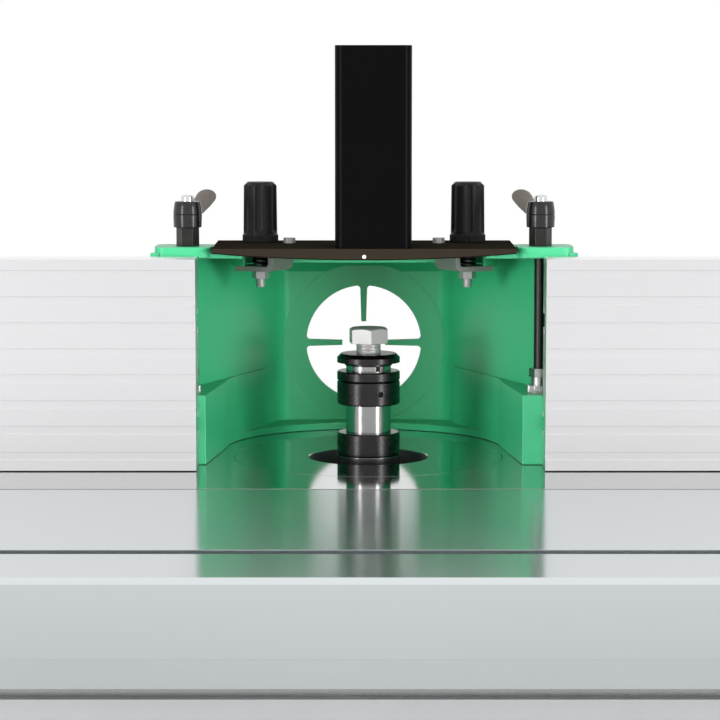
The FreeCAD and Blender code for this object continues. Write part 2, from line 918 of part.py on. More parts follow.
def handwheel_shaft():
    """Handwheel shaft with its bevel gear, a gap between teeth turned down."""
    gear = bevel_gear()
    gear.rotate(Vector(), Vector(0, 0, 1), 180 / gear_teeth)
    gear.rotate(Vector(), Vector(1, 0, 0), -90)
    gear.translate(Vector(0, -guide_setback, gear_apex))
    back = -guide_setback - gear_radius - gear_hub
    shaft = bar_y(wheel_shaft_radius, 0, gear_apex, wheel_plane - wheel_hub_length / 2, back)
    return joined(gear, shaft)


def wheel_bush():
    """Flanged bush in the front panel, round the handwheel shaft."""
    inner = wheel_shaft_radius + fit
    front = -cabinet_front - bush_flange
    back = sheet - cabinet_front + bush_tail
    profile = [(inner, front), (bush_radius, front), (bush_radius, -cabinet_front),
               (bush_barrel_radius, -cabinet_front), (bush_barrel_radius, back), (inner, back)]
    return turned_y(profile, 0, gear_apex)


def handwheel():
    """Disc handwheel with the pin for its grip."""
    rim = Part.makeTorus(wheel_radius - wheel_rim_radius, wheel_rim_radius,
                         Vector(0, wheel_plane, gear_apex), Vector(0, 1, 0))
    web = bar_y(wheel_radius - wheel_rim_radius, 0, gear_apex,
                wheel_plane - wheel_web / 2, wheel_plane + wheel_web / 2)
    hub = bar_y(wheel_hub_radius, 0, gear_apex,
                wheel_plane - wheel_hub_length / 2, wheel_plane + wheel_hub_length / 2)
    pin = bar_y(grip_pin_radius, 0, grip_z, grip_front + grip_neck_radius, wheel_plane)
    bore = bar_y(wheel_shaft_radius, 0, gear_apex,
                 wheel_plane - wheel_hub_length, wheel_plane + wheel_hub_length)
    return joined(rim, web, hub, pin).cut(bore)


def crank_grip():
    """Turning grip on the handwheel's pin."""
    middle = (grip_front + grip_back) / 2
    profile = [(0, grip_front), (grip_neck_radius, grip_front), (grip_radius, grip_front + grip_neck_radius),
               (grip_radius, middle), (grip_neck_radius, grip_back), (0, grip_back)]
    bore = bar_y(grip_pin_radius + fit, 0, grip_z, grip_front + grip_neck_radius - slip, grip_back + overrun)
    return turned_y(profile, 0, grip_z).cut(bore)


# Motor and belt

def motor_plate():
    """Plate under the housing that carries the motor."""
    back = motor_setback + motor_radius + motor_plate_margin
    plate = block(-motor_plate_half_width, motor_plate_half_width, -motor_plate_front, back,
                  housing_bottom - motor_plate_thickness, housing_bottom)
    low = housing_bottom - motor_plate_thickness - overrun
    holes = [upright(housing_bore, 0, 0, low, housing_bottom + overrun),
             upright(motor_shaft_radius + slip, 0, motor_setback, low, housing_bottom + overrun)]
    return plate.cut(holes)


def motor_body():
    """Finned motor casing with its terminal box, hollow round the rotor."""
    top = housing_bottom + motor_length
    casing = upright(motor_radius, 0, motor_setback, housing_bottom, top)
    fin = block(motor_radius - motor_fin_height, motor_radius + motor_fin_height,
                -motor_fin_width / 2, motor_fin_width / 2,
                housing_bottom + motor_end_wall, top - motor_end_wall)
    fins = []
    for i in range(motor_fin_count):
        turned_fin = fin.copy()
        turned_fin.rotate(Vector(), Vector(0, 0, 1), 360 * (i + 0.5) / motor_fin_count)
        fins.append(moved(turned_fin, 0, motor_setback, 0))
    middle = housing_bottom + motor_length / 2
    box = block(-motor_radius - terminal_box_depth, 0,
                motor_setback - terminal_box_width / 2, motor_setback + terminal_box_width / 2,
                middle - terminal_box_height / 2, middle + terminal_box_height / 2)
    hollow = upright(motor_radius - motor_wall, 0, motor_setback,
                     housing_bottom + motor_end_wall, top - motor_end_wall)
    bore = upright(motor_shaft_radius + fit, 0, motor_setback,
                   housing_bottom - overrun, top - motor_end_wall / 2)
    return joined(casing, box, *fins).cut([hollow, bore])


def motor_shaft():
    """Motor shaft with its rotor."""
    bottom = pulley_bottom - shaft_tail
    top = housing_bottom + motor_length
    rotor = motor_radius - motor_wall - rotor_gap
    low = housing_bottom + motor_end_wall + rotor_end_gap
    high = top - motor_end_wall - rotor_end_gap
    end = top - motor_end_wall / 2 - seat_gap
    profile = [(0, bottom), (motor_shaft_radius, bottom), (motor_shaft_radius, low), (rotor, low),
               (rotor, high), (motor_shaft_radius, high), (motor_shaft_radius, end), (0, end)]
    return turned(profile, 0, motor_setback)


def pulley(radius, bore, y):
    """Belt pulley with a flange at each end."""
    rim = radius + pulley_flange
    low = pulley_bottom + pulley_flange_thickness
    high = pulley_top - pulley_flange_thickness
    profile = [(bore, pulley_bottom), (rim, pulley_bottom), (rim, low), (radius, low),
               (radius, high), (rim, high), (rim, pulley_top), (bore, pulley_top)]
    return turned(profile, 0, y)


def belt_face(spare):
    """Flat face inside a belt that stands off both pulleys by the spare length."""
    near = spindle_pulley_radius + spare
    far = motor_pulley_radius + spare
    z = (pulley_bottom + pulley_top - belt_width) / 2
    tilt = math.asin((far - near) / motor_setback)
    across, along = math.cos(tilt), -math.sin(tilt)
    near_right = Vector(near * across, near * along, z)
    near_left = Vector(-near * across, near * along, z)
    far_right = Vector(far * across, motor_setback + far * along, z)
    far_left = Vector(-far * across, motor_setback + far * along, z)
    edges = [Part.LineSegment(near_right, far_right).toShape(),
             Part.Arc(far_right, Vector(0, motor_setback + far, z), far_left).toShape(),
             Part.LineSegment(far_left, near_left).toShape(),
             Part.Arc(near_left, Vector(0, -near, z), near_right).toShape()]
    return Part.Face(Part.Wire(edges))


def drive_belt():
    """Flat belt round both pulleys."""
    up = Vector(0, 0, belt_width)
    return belt_face(belt_gap + belt_thickness).extrude(up).cut(belt_face(belt_gap).extrude(up))


# Control box

def control_box():
    """Switch box on the front panel, bored for its two buttons."""
    box = rounded(-control_half_width, control_half_width, 0, control_height, 0, control_depth, control_corner)
    box.rotate(Vector(), Vector(1, 0, 0), 90)
    box.translate(Vector(control_x, -cabinet_front, -control_top - control_height))
    start_z = -control_top - start_drop
    stop_z = -control_top - stop_drop
    bezel = bar_y(start_radius + bezel_width, control_x, start_z, control_face - bezel_height, control_face)
    collar = bar_y(stop_stem_radius + bezel_width, control_x, stop_z, control_face - bezel_height, control_face)
    bottom = control_face + button_depth
    wells = [bar_y(start_radius + slip, control_x, start_z, control_face - overrun, bottom + start_travel),
             bar_y(stop_stem_radius + slip, control_x, stop_z, control_face - overrun, bottom + stop_travel)]
    return joined(box, bezel, collar).cut(wells)


def start_button():
    """Flush start button."""
    z = -control_top - start_drop
    return bar_y(start_radius, control_x, z, control_face - start_reach, control_face + button_depth - seat_gap)


def stop_button():
    """Mushroom stop button."""
    z = -control_top - stop_drop
    stem = bar_y(stop_stem_radius, control_x, z,
                 control_face - stop_reach, control_face + button_depth - seat_gap)
    front = control_face - stop_reach - stop_head
    head = turned_y([(0, front), (stop_stem_radius, front), (stop_radius, front + stop_head / 2),
                     (stop_radius, control_face - stop_reach), (0, control_face - stop_reach)], control_x, z)
    return joined(stem, head)


# Sliding table

def chambers(x0, x1, y0, y1, z0, z1, wall, count):
    """Hollows along X, side by side between y0 and y1 with a web between neighbours."""
    width = (y1 - y0 - wall * (count - 1)) / count
    starts = [y0 + i * (width + wall) for i in range(count)]
    return [block(x0, x1, start, start + width, z0, z1) for start in starts]


def sliding_table():
    """Extruded sliding table with a T-slot and two runners."""
    ends = (-slide_half_length, slide_half_length)
    cuts = (-slide_half_length - overrun, slide_half_length + overrun)
    top = section([(slide_front, -slide_depth), (slide_back, -slide_depth), (slide_back, 0),
                   (slide_front + slide_edge, 0), (slide_front, -slide_edge)], *ends)
    runners = [block(*ends, -y - runner_width / 2, runner_width / 2 - y, slip - rod_drop, -slide_depth)
               for y in (rod_front, rod_rear)]
    grooves = [bar_x(rod_radius + fit, -y, -rod_drop, *cuts) for y in (rod_front, rod_rear)]
    mouth = block(*cuts, -slot_setback - slot_mouth / 2, slot_mouth / 2 - slot_setback,
                  -slot_mouth_depth - slot_chamber_depth, overrun)
    chamber = block(*cuts, -slot_setback - slot_chamber / 2, slot_chamber / 2 - slot_setback,
                    -slot_mouth_depth - slot_chamber_depth, -slot_mouth_depth)
    low = slide_wall - slide_depth
    hollows = chambers(*cuts, slide_front + slide_wall, -slot_setback - slot_chamber / 2 - slide_wall,
                       low, -slide_wall, slide_wall, 1)
    hollows += chambers(*cuts, slot_chamber / 2 - slot_setback + slide_wall, slide_back - slide_wall,
                        low, -slide_wall, slide_wall, slide_chamber_count)
    return joined(top, *runners).cut(grooves + hollows + [mouth, chamber])


def rail_beam():
    """Hollow beam under the sliding table, with a ridge under each guide rod."""
    ends = (-rail_half_length, rail_half_length)
    cuts = (-rail_half_length - overrun, rail_half_length + overrun)
    bottom = -rail_top - rail_height
    beam = block(*ends, -rail_front, -rail_rear, bottom, -rail_top)
    hollows = chambers(*cuts, rail_wall - rail_front, -rail_rear - rail_wall,
                       bottom + rail_wall, -rail_top - rail_wall, rail_wall, rail_chamber_count)
    ridges = [block(*ends, -y - rail_ridge / 2, rail_ridge / 2 - y, -rail_top,
                    -rod_drop - rod_radius * rail_seat_share) for y in (rod_front, rod_rear)]
    seats = [bar_x(rod_radius, -y, -rod_drop, *cuts) for y in (rod_front, rod_rear)]
    return joined(beam, *ridges).cut(hollows + seats)


def guide_rods():
    """Two round rods that the sliding table runs on."""
    return group(bar_x(rod_radius, -y, -rod_drop, -rail_half_length, rail_half_length)
                 for y in (rod_front, rod_rear))


def rail_brackets():
    """Two gussets that carry the beam on the cabinet."""
    top = -rail_top - rail_height
    outline = [(-cabinet_front, top), (-cabinet_front, top - bracket_foot_height),
               (-cabinet_front - bracket_pad_thickness, top - bracket_foot_height),
               (-rail_front, top - bracket_tip_height), (-rail_front, top)]
    brackets = []
    for x in (-bracket_x, bracket_x):
        gusset = section(outline, x - bracket_plate / 2, x + bracket_plate / 2)
        pad = block(x - bracket_pad / 2, x + bracket_pad / 2, -cabinet_front - bracket_pad_thickness,
                    -cabinet_front, top - bracket_foot_height, top)
        shelf = block(x - bracket_pad / 2, x + bracket_pad / 2, -rail_front, -cabinet_front,
                      top - bracket_pad_thickness, top)
        brackets.append(joined(gusset, pad, shelf))
    return group(brackets)


# Hood

def inner_half(y):
    """Half width inside the hood's side walls at a depth y."""
    return hood_front_half - hood_slope * (y + hood_front)


def hood_plan(y0, y1, spare, z0, z1):
    """Tapered plan of the hood from y0 to y1, wider than the inside by the spare on each side."""
    front = inner_half(y0) + spare
    back = inner_half(y1) + spare
    return plan([(-front, y0), (front, y0), (back, y1), (-back, y1)], z0, z1)


def rounded_back(shape, radius):
    """Rounds the two rear upright corners of a tapered plan."""
    back = shape.BoundBox.YMax
    edges = [edge for edge in shape.Edges
             if is_upright(edge) and edge.Vertexes[0].Y > back - radius]
    return shape.makeFillet(radius, edges)


def throat():
    """Cut for the space round the cutter, open at the front."""
    low = hood_gap - overrun
    high = ledge_top + overrun
    bowl = upright(throat_radius, 0, throat_setback, low, high)
    flare = plan([(-throat_front_half, -hood_front), (throat_front_half, -hood_front),
                  (throat_radius, throat_setback), (-throat_radius, throat_setback)], low, high)
    mouth = block(-throat_front_half, throat_front_half, -hood_front - overrun, -hood_front, low, high)
    return bowl.fuse([flare, mouth])


def hood_base():
    """Lower casting: floor plate, two cheek blocks with lips, feet for the fence and slotted ears."""
    front_flange_back = front_flange - hood_front
    outer = inner_half(-hood_front) + wall_across
    floor = hood_plan(-hood_front, hood_outer_back, wall_across, hood_gap, hood_floor_top)
    floor = rounded_back(floor, hood_corner)
    cheeks = hood_plan(-hood_front, ledge_end, 0, hood_floor_top, ledge_top)
    cheeks = cheeks.cut(hood_plan(lip_start, ledge_end + overrun, -throat_margin * hood_slant,
                                  hood_floor_top, ledge_top + overrun))
    strip = block(throat_front_half, front_flange_half, -hood_front, front_flange_back,
                  hood_gap, hood_floor_top)
    flange = block(outer, front_flange_half, -hood_front, front_flange_back, hood_gap, ledge_top)
    ear = plan([(inner_half(ear_front), ear_front), (ear_reach, ear_front), (ear_reach, ear_back),
                (inner_half(ear_back), ear_back)], hood_gap, hood_gap + ear_thickness)
    ear = ear.cut(hood_plan(-hood_front, hood_outer_back, wall_across, hood_floor_top, ledge_top))
    slot_radius = hold_down_radius + slip
    slot_front = hold_down_back - hood_travel_back - slip
    slot_back = hold_down_back + hood_travel_front + slip
    low = hood_gap - overrun
    high = hood_gap + ear_thickness + overrun
    slot = joined(upright(slot_radius, hold_down_x, slot_front, low, high),
                  upright(slot_radius, hold_down_x, slot_back, low, high),
                  block(hold_down_x - slot_radius, hold_down_x + slot_radius, slot_front, slot_back, low, high))
    ear = ear.cut(slot)
    tee = bar_y(tee_bolt_radius + slip, tee_x, tee_low, -hood_front - overrun, front_flange_back + overrun)
    side = joined(strip, flange, ear).cut(tee)
    return at_hood(joined(floor, cheeks, side, other_hand(side)).cut(throat()))


def hood_shell():
    """Upper casting: walls, roof that falls to the back, notch with its rim, lugs, flanges and port."""
    front_flange_back = front_flange - hood_front
    outer = hood_plan(-hood_front, hood_outer_back, wall_across, hood_floor_top, roof_top)
    outer = rounded_back(outer, hood_corner)
    inside = hood_plan(-hood_front - overrun, hood_back, 0, hood_floor_top - overrun, roof_bottom)
    inside = rounded_back(inside, hood_corner - hood_wall)
    coving = section([(hood_back, roof_bottom - cove), (hood_back, roof_bottom), (roof_fall_start, roof_bottom),
                      (hood_back - cove, roof_bottom - roof_fall)], -hood_front_half, hood_front_half)
    rim_bottom = roof_bottom - rim_depth
    rim_half = notch_half + rim_width
    rim = rounded(-rim_half, rim_half, -rim_front, notch_rear + rim_width, rim_bottom, roof_bottom,
                  notch_corner + rim_width)
    shell = joined(outer.cut(inside), coving.common(outer), rim)
    recess = block(-hood_front_half, hood_front_half, -hood_front - overrun, roof_setback - hood_front,
                   roof_bottom - overrun, roof_top + overrun)
    fall = section([(roof_fall_start, roof_top), (hood_outer_back, roof_top),
                    (hood_outer_back, roof_top - roof_fall)], -hood_front_half, hood_front_half)
    notch = rounded(-notch_half, notch_half, -hood_front - 2 * notch_corner, notch_rear,
                    rim_bottom - overrun, roof_top + overrun, notch_corner)
    shell = shell.cut([recess, fall, notch, dust_cut()])
    lug = rounded(lug_inner, lug_outer, -hood_front, lug_depth - hood_front, lug_bottom, lug_top, lug_corner)
    flange = block(hood_front_half, front_flange_half, -hood_front, front_flange_back, ledge_top, roof_bottom)
    side = joined(lug, flange)
    shell = joined(shell, side, other_hand(side))
    rod = upright(clamp_rod_radius + slip, rod_x, -rod_setback, ledge_top + overrun, lug_top + overrun)
    tee = bar_y(tee_bolt_radius + slip, tee_x, tee_high, -hood_front - overrun, front_flange_back + overrun)
    return at_hood(shell.cut([rod, other_hand(rod), tee, other_hand(tee)]))


def is_port_corner(edge):
    """True for an edge along Y where a spoke meets the port's rim."""
    ends = [vertex.Point for vertex in edge.Vertexes]
    reach = math.hypot(ends[0].x, ends[0].z - port_height)
    return abs(ends[-1].y - ends[0].y) > hood_wall and reach > port_radius - fit


def dust_cut():
    """Cut for the dust port, which leaves its four finger-guard spokes standing."""
    low = hood_back - overrun
    high = hood_outer_back + overrun
    hole = bar_y(port_radius, 0, port_height, low, high)
    outline = [(-spoke_tip_width / 2, spoke_inner_radius), (spoke_tip_width / 2, spoke_inner_radius),
               (spoke_rim_width / 2, port_radius), (-spoke_rim_width / 2, port_radius)]
    spoke = face_of([Vector(x, low, port_height + z) for x, z in outline]).extrude(Vector(0, high - low, 0))
    spokes = []
    for i in range(spoke_count):
        turned_spoke = spoke.copy()
        turned_spoke.rotate(Vector(0, 0, port_height), Vector(0, 1, 0), 360 * i / spoke_count)
        spokes.append(turned_spoke)
    quarters = hole.cut(spokes)
    roots = [edge for edge in quarters.Edges if is_port_corner(edge)]
    quarters = quarters.makeFillet(port_corner, roots)
    ring = bar_y(port_ring_radius, 0, port_height, low, hood_back + port_ring_depth)
    return quarters.fuse(ring)


def dust_spigot():
    """Round spigot behind the hood for a dust hose."""
    end = hood_outer_back + spigot_length
    inner = spigot_radius - spigot_wall
    profile = [(inner, hood_outer_back), (spigot_radius, hood_outer_back), (spigot_radius, end), (inner, end)]
    return at_hood(turned_y(profile, 0, port_height))


def hold_down_bolts():
    """Bolts through the slotted ears into the table."""
    seat = hood_gap + ear_thickness + seat_gap
    bolts = []
    for x in (-hold_down_x, hold_down_x):
        shank = upright(hold_down_radius, x, hold_down_back, -hold_down_thread, seat + washer_thickness)
        washer = upright(washer_radius, x, hold_down_back, seat, seat + washer_thickness)
        head = hex_bar(hold_down_flats, x, hold_down_back, seat + washer_thickness,
                       seat + washer_thickness + hold_down_head)
        bolts.append(at_hood(joined(shank, washer, head)))
    return group(bolts)


# Clamp rods and levers

def clamp_rods():
    """Rods from the cheek blocks up through the lugs, each with a hexagon under its lever."""
    hexagon = hex_bar(rod_hex_flats, rod_x, -rod_setback, lug_top, lug_top + rod_hex_height)
    stem = upright(clamp_rod_radius, rod_x, -rod_setback, ledge_top, lever_bottom + rod_pin_length)
    rod = joined(stem, hexagon)
    return group([at_hood(other_hand(rod)), at_hood(rod)])


def rod_ferrules():
    """Knurled ferrule and nut at the foot of each rod."""
    inner = clamp_rod_radius + fit
    knurl = ledge_top + ferrule_knurl_height
    neck = knurl + ferrule_neck_height
    body = turned([(inner, ledge_top), (ferrule_knurl_radius, ledge_top), (ferrule_knurl_radius, knurl),
                   (ferrule_neck_radius, knurl), (ferrule_neck_radius, neck), (inner, neck)],
                  rod_x, -rod_setback)
    nut = hex_bar(ferrule_nut_flats, rod_x, -rod_setback, neck, neck + ferrule_nut_height)
    nut = nut.cut(upright(inner, rod_x, -rod_setback, ledge_top, lug_top))
    ferrule = joined(body, nut)
    return group([at_hood(other_hand(ferrule)), at_hood(ferrule)])


def arm_ring(share, rise_share, width_share, height_share):
    """Oval section of the lever's arm at one place along it."""
    center = Vector(0, arm_length * share, arm_root_height + arm_rise * rise_share)
    width = Vector(arm_half_width * width_share, 0, 0)
    height = Vector(0, 0, arm_half_height * height_share)
    if width.Length > height.Length:
        oval = Part.Ellipse(center + width, center + height, center)
    else:
        oval = Part.Ellipse(center + height, center + width, center)
    return Part.Wire(oval.toShape())


def clamp_lever():
    """Right-hand lever: waisted hub, rising arm and the screw button on top."""
    top = hub_height
    hub = turned([(0, 0), (hub_bottom_radius, 0), (hub_middle_radius, hub_middle),
                  (hub_middle_radius - hub_edge, hub_middle + hub_edge), (hub_top_radius, top - hub_edge),
                  (hub_top_radius - hub_edge, top), (0, top)], 0, 0)
    shares = zip(arm_place_shares, arm_rise_shares, arm_width_shares, arm_height_shares)
    arm = Part.makeLoft([arm_ring(*share) for share in shares], True)
    arm.rotate(Vector(), Vector(0, 0, 1), arm_turn)
    button = turned([(0, top), (button_radius, top), (button_radius, top + button_height / 2),
                     (button_radius / 2, top + button_height), (0, top + button_height)], 0, 0)
    bore = upright(clamp_rod_radius + fit, 0, 0, -overrun, rod_pin_length + seat_gap)
    lever = joined(hub, arm, button).cut(bore)
    return moved(lever, rod_x, -rod_setback, lever_bottom)


# Fence

def fence_plate(end):
    """Right-hand fence plate: an extrusion with recessed lines in front and two T-slots behind."""
    plate = block(end, end + fence_length, -fence_front, -fence_back, fence_bottom, fence_top)
    cuts = (end - overrun, end + fence_length + overrun)
    lines = []
    for i in range(groove_count):
        top = fence_top - groove_first - i * groove_pitch
        lines.append(block(*cuts, -fence_front - overrun, groove_depth - fence_front, top - groove_height, top))
    slots = []
    for z in (tee_low, tee_high):
        inner = -fence_back - tee_mouth_depth
        slots.append(block(*cuts, inner - tee_chamber_depth, overrun - fence_back,
                           z - tee_mouth / 2, z + tee_mouth / 2))
        slots.append(block(*cuts, inner - tee_chamber_depth, inner,
                           z - tee_chamber / 2, z + tee_chamber / 2))
    return plate.cut(lines + slots)


def tee_bolts():
    """Bolts that hold the fence plates to the hood by their T-slots."""
    inner = -fence_back - tee_mouth_depth
    seat = front_flange - hood_front
    bolts = []
    for z in (tee_low, tee_high):
        height = tee_chamber / 2 - slip
        head = block(tee_x - tee_head_half, tee_x + tee_head_half,
                     inner - tee_chamber_depth + slip, inner - slip, z - height, z + height)
        shank = bar_y(tee_bolt_radius, tee_x, z, inner - slip, seat + tee_nut_height + tee_tail)
        nut = hex_bar_y(tee_nut_flats, tee_x, z, seat, seat + tee_nut_height)
        bolt = joined(head, shank, nut)
        bolts += [at_hood(bolt), at_hood(other_hand(bolt))]
    return group(bolts)


# Guard

def guard_plate():
    """Guard sheet over the cutter, with its curved front apron bent down."""
    flat = plan([(-guard_front_half, -guard_front), (guard_front_half, -guard_front),
                 (guard_half_length, guard_rear), (-guard_half_length, guard_rear)], guard_bottom, guard_top)
    flat = rounded_back(flat, guard_corner)
    left_back = Vector(-guard_front_half, -guard_front, guard_bottom)
    right_back = Vector(guard_front_half, -guard_front, guard_bottom)
    edge = Vector(0, -apron_edge, 0)
    lines = [Part.LineSegment(left_back, left_back + edge).toShape(),
             Part.Arc(left_back + edge, Vector(0, -guard_front - apron_reach, guard_bottom),
                      right_back + edge).toShape(),
             Part.LineSegment(right_back + edge, right_back).toShape(),
             Part.LineSegment(right_back, left_back).toShape()]
    apron = Part.Face(Part.Wire(lines)).extrude(Vector(0, 0, guard_thickness))
    apron.rotate(Vector(0, -guard_front, guard_top), Vector(1, 0, 0), apron_angle)
    holes = []
    for place, radius in ((0, stud_radius + slip), (-screw_place, guard_screw_radius + fit)):
        x, y = clip_point(place)
        hole = upright(radius, x, y, guard_bottom - overrun, guard_top + overrun)
        holes += [hole, other_hand(hole)]
    return at_hood(joined(flat, apron).cut(holes))


def guard_post():
    """Square post that stands on the guard, closed at its top."""
    half = post_size / 2
    inner = half - post_wall
    middle = post_front + half
    outer = rounded(post_offset - half, post_offset + half, post_front, post_front + post_size,
                    guard_top, guard_top + post_height, post_corner)
    hollow = rounded(post_offset - inner, post_offset + inner, middle - inner, middle + inner,
                     guard_top - overrun, guard_top + post_height - post_cap, post_corner - post_wall)
    return at_hood(outer.cut(hollow))


def clip_point(place):
    """Place along the right-hand clip's line, outward from its stud."""
    turn = math.radians(clip_angle)
    return knob_x + place * math.cos(turn), knob_setback + place * math.sin(turn)


def lines_at(shape, x, z):
    """Edges of a shape that run along Y at one X and one Z."""
    return [edge for edge in shape.Edges
            if all(abs(end.X - x) < fit and abs(end.Z - z) < fit for end in edge.Vertexes)]


def guard_clips():
    """Bent clips under the guard that grip the roof's notch."""
    bottom = clip_top - clip_thickness
    jaw = block(-clip_web, clip_jaw, -clip_half_width, clip_half_width, bottom, clip_top)
    web = block(-clip_web - clip_thickness, -clip_web, -clip_half_width, clip_half_width, bottom, guard_bottom)
    heel = block(-screw_place - clip_margin, -clip_web, -clip_half_width, clip_half_width,
                 guard_bottom - clip_thickness, guard_bottom)
    holes = [upright(stud_radius + clip_hole_gap, 0, 0, bottom - overrun, clip_top + overrun),
             upright(guard_screw_radius + fit, -screw_place, 0, bottom - overrun, guard_bottom + overrun)]
    clip = joined(jaw, web, heel)
    outside = -clip_web - clip_thickness
    inner_bend = clip_bend - clip_thickness
    for x, z, radius in ((outside, bottom, clip_bend), (-clip_web, clip_top, inner_bend),
                         (-clip_web, guard_bottom, clip_bend),
                         (outside, guard_bottom - clip_thickness, inner_bend)):
        clip = clip.makeFillet(radius, lines_at(clip, x, z))
    clip = clip.cut(holes)
    clip.rotate(Vector(), Vector(0, 0, 1), clip_angle)
    clip.translate(Vector(knob_x, knob_setback, 0))
    return group([at_hood(clip), at_hood(other_hand(clip))])


def guard_screw():
    """Small bolt that holds the right-hand clip's heel to the guard."""
    x, y = clip_point(-screw_place)
    shank = upright(guard_screw_radius, x, y, guard_bottom - clip_thickness - guard_screw_tail, guard_top)
    head = hex_bar(guard_screw_flats, x, y, guard_top, guard_top + guard_screw_head)
    return joined(shank, head)


def clip_fasteners():
    """Studs through the guard and the clips, each with its nut, and the bolts at the clips' heels."""
    stud = upright(stud_radius, knob_x, knob_setback, stud_bottom, guard_top + stud_into_knob)
    jaw_bottom = clip_top - clip_thickness
    nut = hex_bar(stud_nut_flats, knob_x, knob_setback, jaw_bottom - stud_nut_height, jaw_bottom)
    pieces = [joined(stud, nut), guard_screw()]
    return group([at_hood(piece) for piece in pieces + [other_hand(piece) for piece in pieces]])


def spring_point(turn, low, pitch):
    """Point on the spring's middle line after a number of turns."""
    angle = 2 * math.pi * turn
    return Vector(spring_radius * math.cos(angle), spring_radius * math.sin(angle), low + pitch * turn)


def clip_springs():
    """Coil spring round each stud, between the clip and the guard."""
    low = clip_top + spring_end_gap + spring_wire
    high = guard_bottom - spring_end_gap - spring_wire
    pitch = (high - low) / spring_turns
    quarters = [i / 4 for i in range(4 * spring_turns)]
    arcs = [Part.Arc(spring_point(t, low, pitch), spring_point(t + 1 / 8, low, pitch),
                     spring_point(t + 1 / 4, low, pitch)) for t in quarters]
    tail = Vector(0, 2 * spring_wire, 0)
    start = spring_point(0, low, pitch)
    finish = spring_point(spring_turns, low, pitch)
    edges = [Part.LineSegment(start - tail, start).toShape()]
    edges += [arc.toShape() for arc in arcs]
    edges.append(Part.LineSegment(finish, finish + tail).toShape())
    ring = Part.Wire(Part.Circle(start - tail, Vector(0, 1, 0), spring_wire).toShape())
    coil = Part.Wire(edges).makePipeShell([ring], True, False)
    print("spring least gap", round(least_gap(low, pitch), 3), "mm, valid", coil.isValid())
    spring = moved(coil, knob_x, knob_setback, 0)
    return group([at_hood(spring), at_hood(other_hand(spring))])


def least_gap(low, pitch):
    """Least distance between neighbouring curls of the spring, measured on points."""
    points = [spring_point(i / 48, low, pitch) for i in range(48 * spring_turns + 1)]
    gaps = [(a - b).Length for i, a in enumerate(points) for b in points[i + 24:]]
    return min(gaps) - 2 * spring_wire


def guard_knob():
    """Right-hand fluted knob on its stud."""
    bottom = guard_top + seat_gap
    ring_top = bottom + knob_ring
    top = bottom + knob_height
    body = turned([(0, bottom), (knob_base_radius, bottom), (knob_base_radius, ring_top),
                   (knob_base_radius - knob_ring_step, ring_top + knob_ring_step),
                   (knob_top_radius, top - knob_dome), (knob_top_radius - knob_dome, top), (0, top)],
                  knob_x, knob_setback)
    reach = knob_top_radius + flute_radius - flute_bite
    cuts = []
    for i in range(flute_count):
        turn = 2 * math.pi * (i + 0.5) / flute_count
        x = knob_x + reach * math.cos(turn)
        y = knob_setback + reach * math.sin(turn)
        cuts.append(upright(flute_radius, x, y, ring_top + flute_radius, top + overrun))
        cuts.append(Part.makeSphere(flute_radius, Vector(x, y, ring_top + flute_radius)))
    bore = upright(stud_radius + fit, knob_x, knob_setback,
                   bottom - overrun, guard_top + stud_into_knob + seat_gap)
    return body.cut(cuts + [bore])


nodes = {
    "base_plate": base_plate(),
    "levelling_feet": levelling_feet(),
    "corner_posts": corner_posts(),
    "front_panel": front_panel(),
    "rear_panel": rear_panel(),
    "left_panel": left_panel(),
    "cable_gland": cable_gland(),
    "cabinet_door": cabinet_door(),
    "door_hinges": door_hinges(),
    "door_latch": door_latch(),
    "work_table": work_table(),
    "table_ring": table_ring(),
    "spindle_shaft": spindle_shaft(),
    "spacer_rings": spacer_rings(),
    "clamp_collar": clamp_collar(),
    "arbor_flange": arbor_flange(),
    "arbor_bolt": arbor_bolt(),
    "spindle_pulley": pulley(spindle_pulley_radius, pulley_seat_radius, 0),
    "spindle_housing": spindle_housing(),
    "spindle_bearings": spindle_bearings(),
    "bearing_cap": bearing_cap(),
    "lift_nut": lift_nut(),
    "guide_posts": guide_posts(),
    "lift_bridge": lift_bridge(),
    "lift_screw": lift_screw(),
    "screw_gear": screw_gear(),
    "handwheel_shaft": handwheel_shaft(),
    "wheel_bush": wheel_bush(),
    "handwheel": handwheel(),
    "crank_grip": crank_grip(),
    "motor_plate": motor_plate(),
    "motor_body": motor_body(),
    "motor_shaft": motor_shaft(),
    "motor_pulley": pulley(motor_pulley_radius, motor_shaft_radius, motor_setback),
    "drive_belt": drive_belt(),
    "control_box": control_box(),
    "start_button": start_button(),
    "stop_button": stop_button(),
    "sliding_table": sliding_table(),
    "rail_beam": rail_beam(),
    "guide_rods": guide_rods(),
    "rail_brackets": rail_brackets(),
    "hood_base": hood_base(),
    "hood_shell": hood_shell(),
    "dust_spigot": dust_spigot(),
    "hold_down_bolts": hold_down_bolts(),
    "clamp_rods": clamp_rods(),
    "rod_ferrules": rod_ferrules(),
    "left_lever": at_hood(other_hand(clamp_lever())),
    "right_lever": at_hood(clamp_lever()),
    "left_fence": other_hand(fence_plate(left_fence_end)),
    "right_fence": fence_plate(right_fence_end),
    "tee_bolts": tee_bolts(),
    "guard_plate": guard_plate(),
    "guard_post": guard_post(),
    "guard_clips": guard_clips(),
    "clip_fasteners": clip_fasteners(),
    "clip_springs": clip_springs(),
    "left_knob": at_hood(other_hand(guard_knob())),
    "right_knob": at_hood(guard_knob()),
}

# The origin goes to the floor under the middle of the machine.
spindle_y = (-slide_front - table_back) / 2
os.makedirs("parts", exist_ok=True)
for name, shape in nodes.items():
    moved(shape, 0, spindle_y, table_height).exportStep("parts/" + name + ".step")
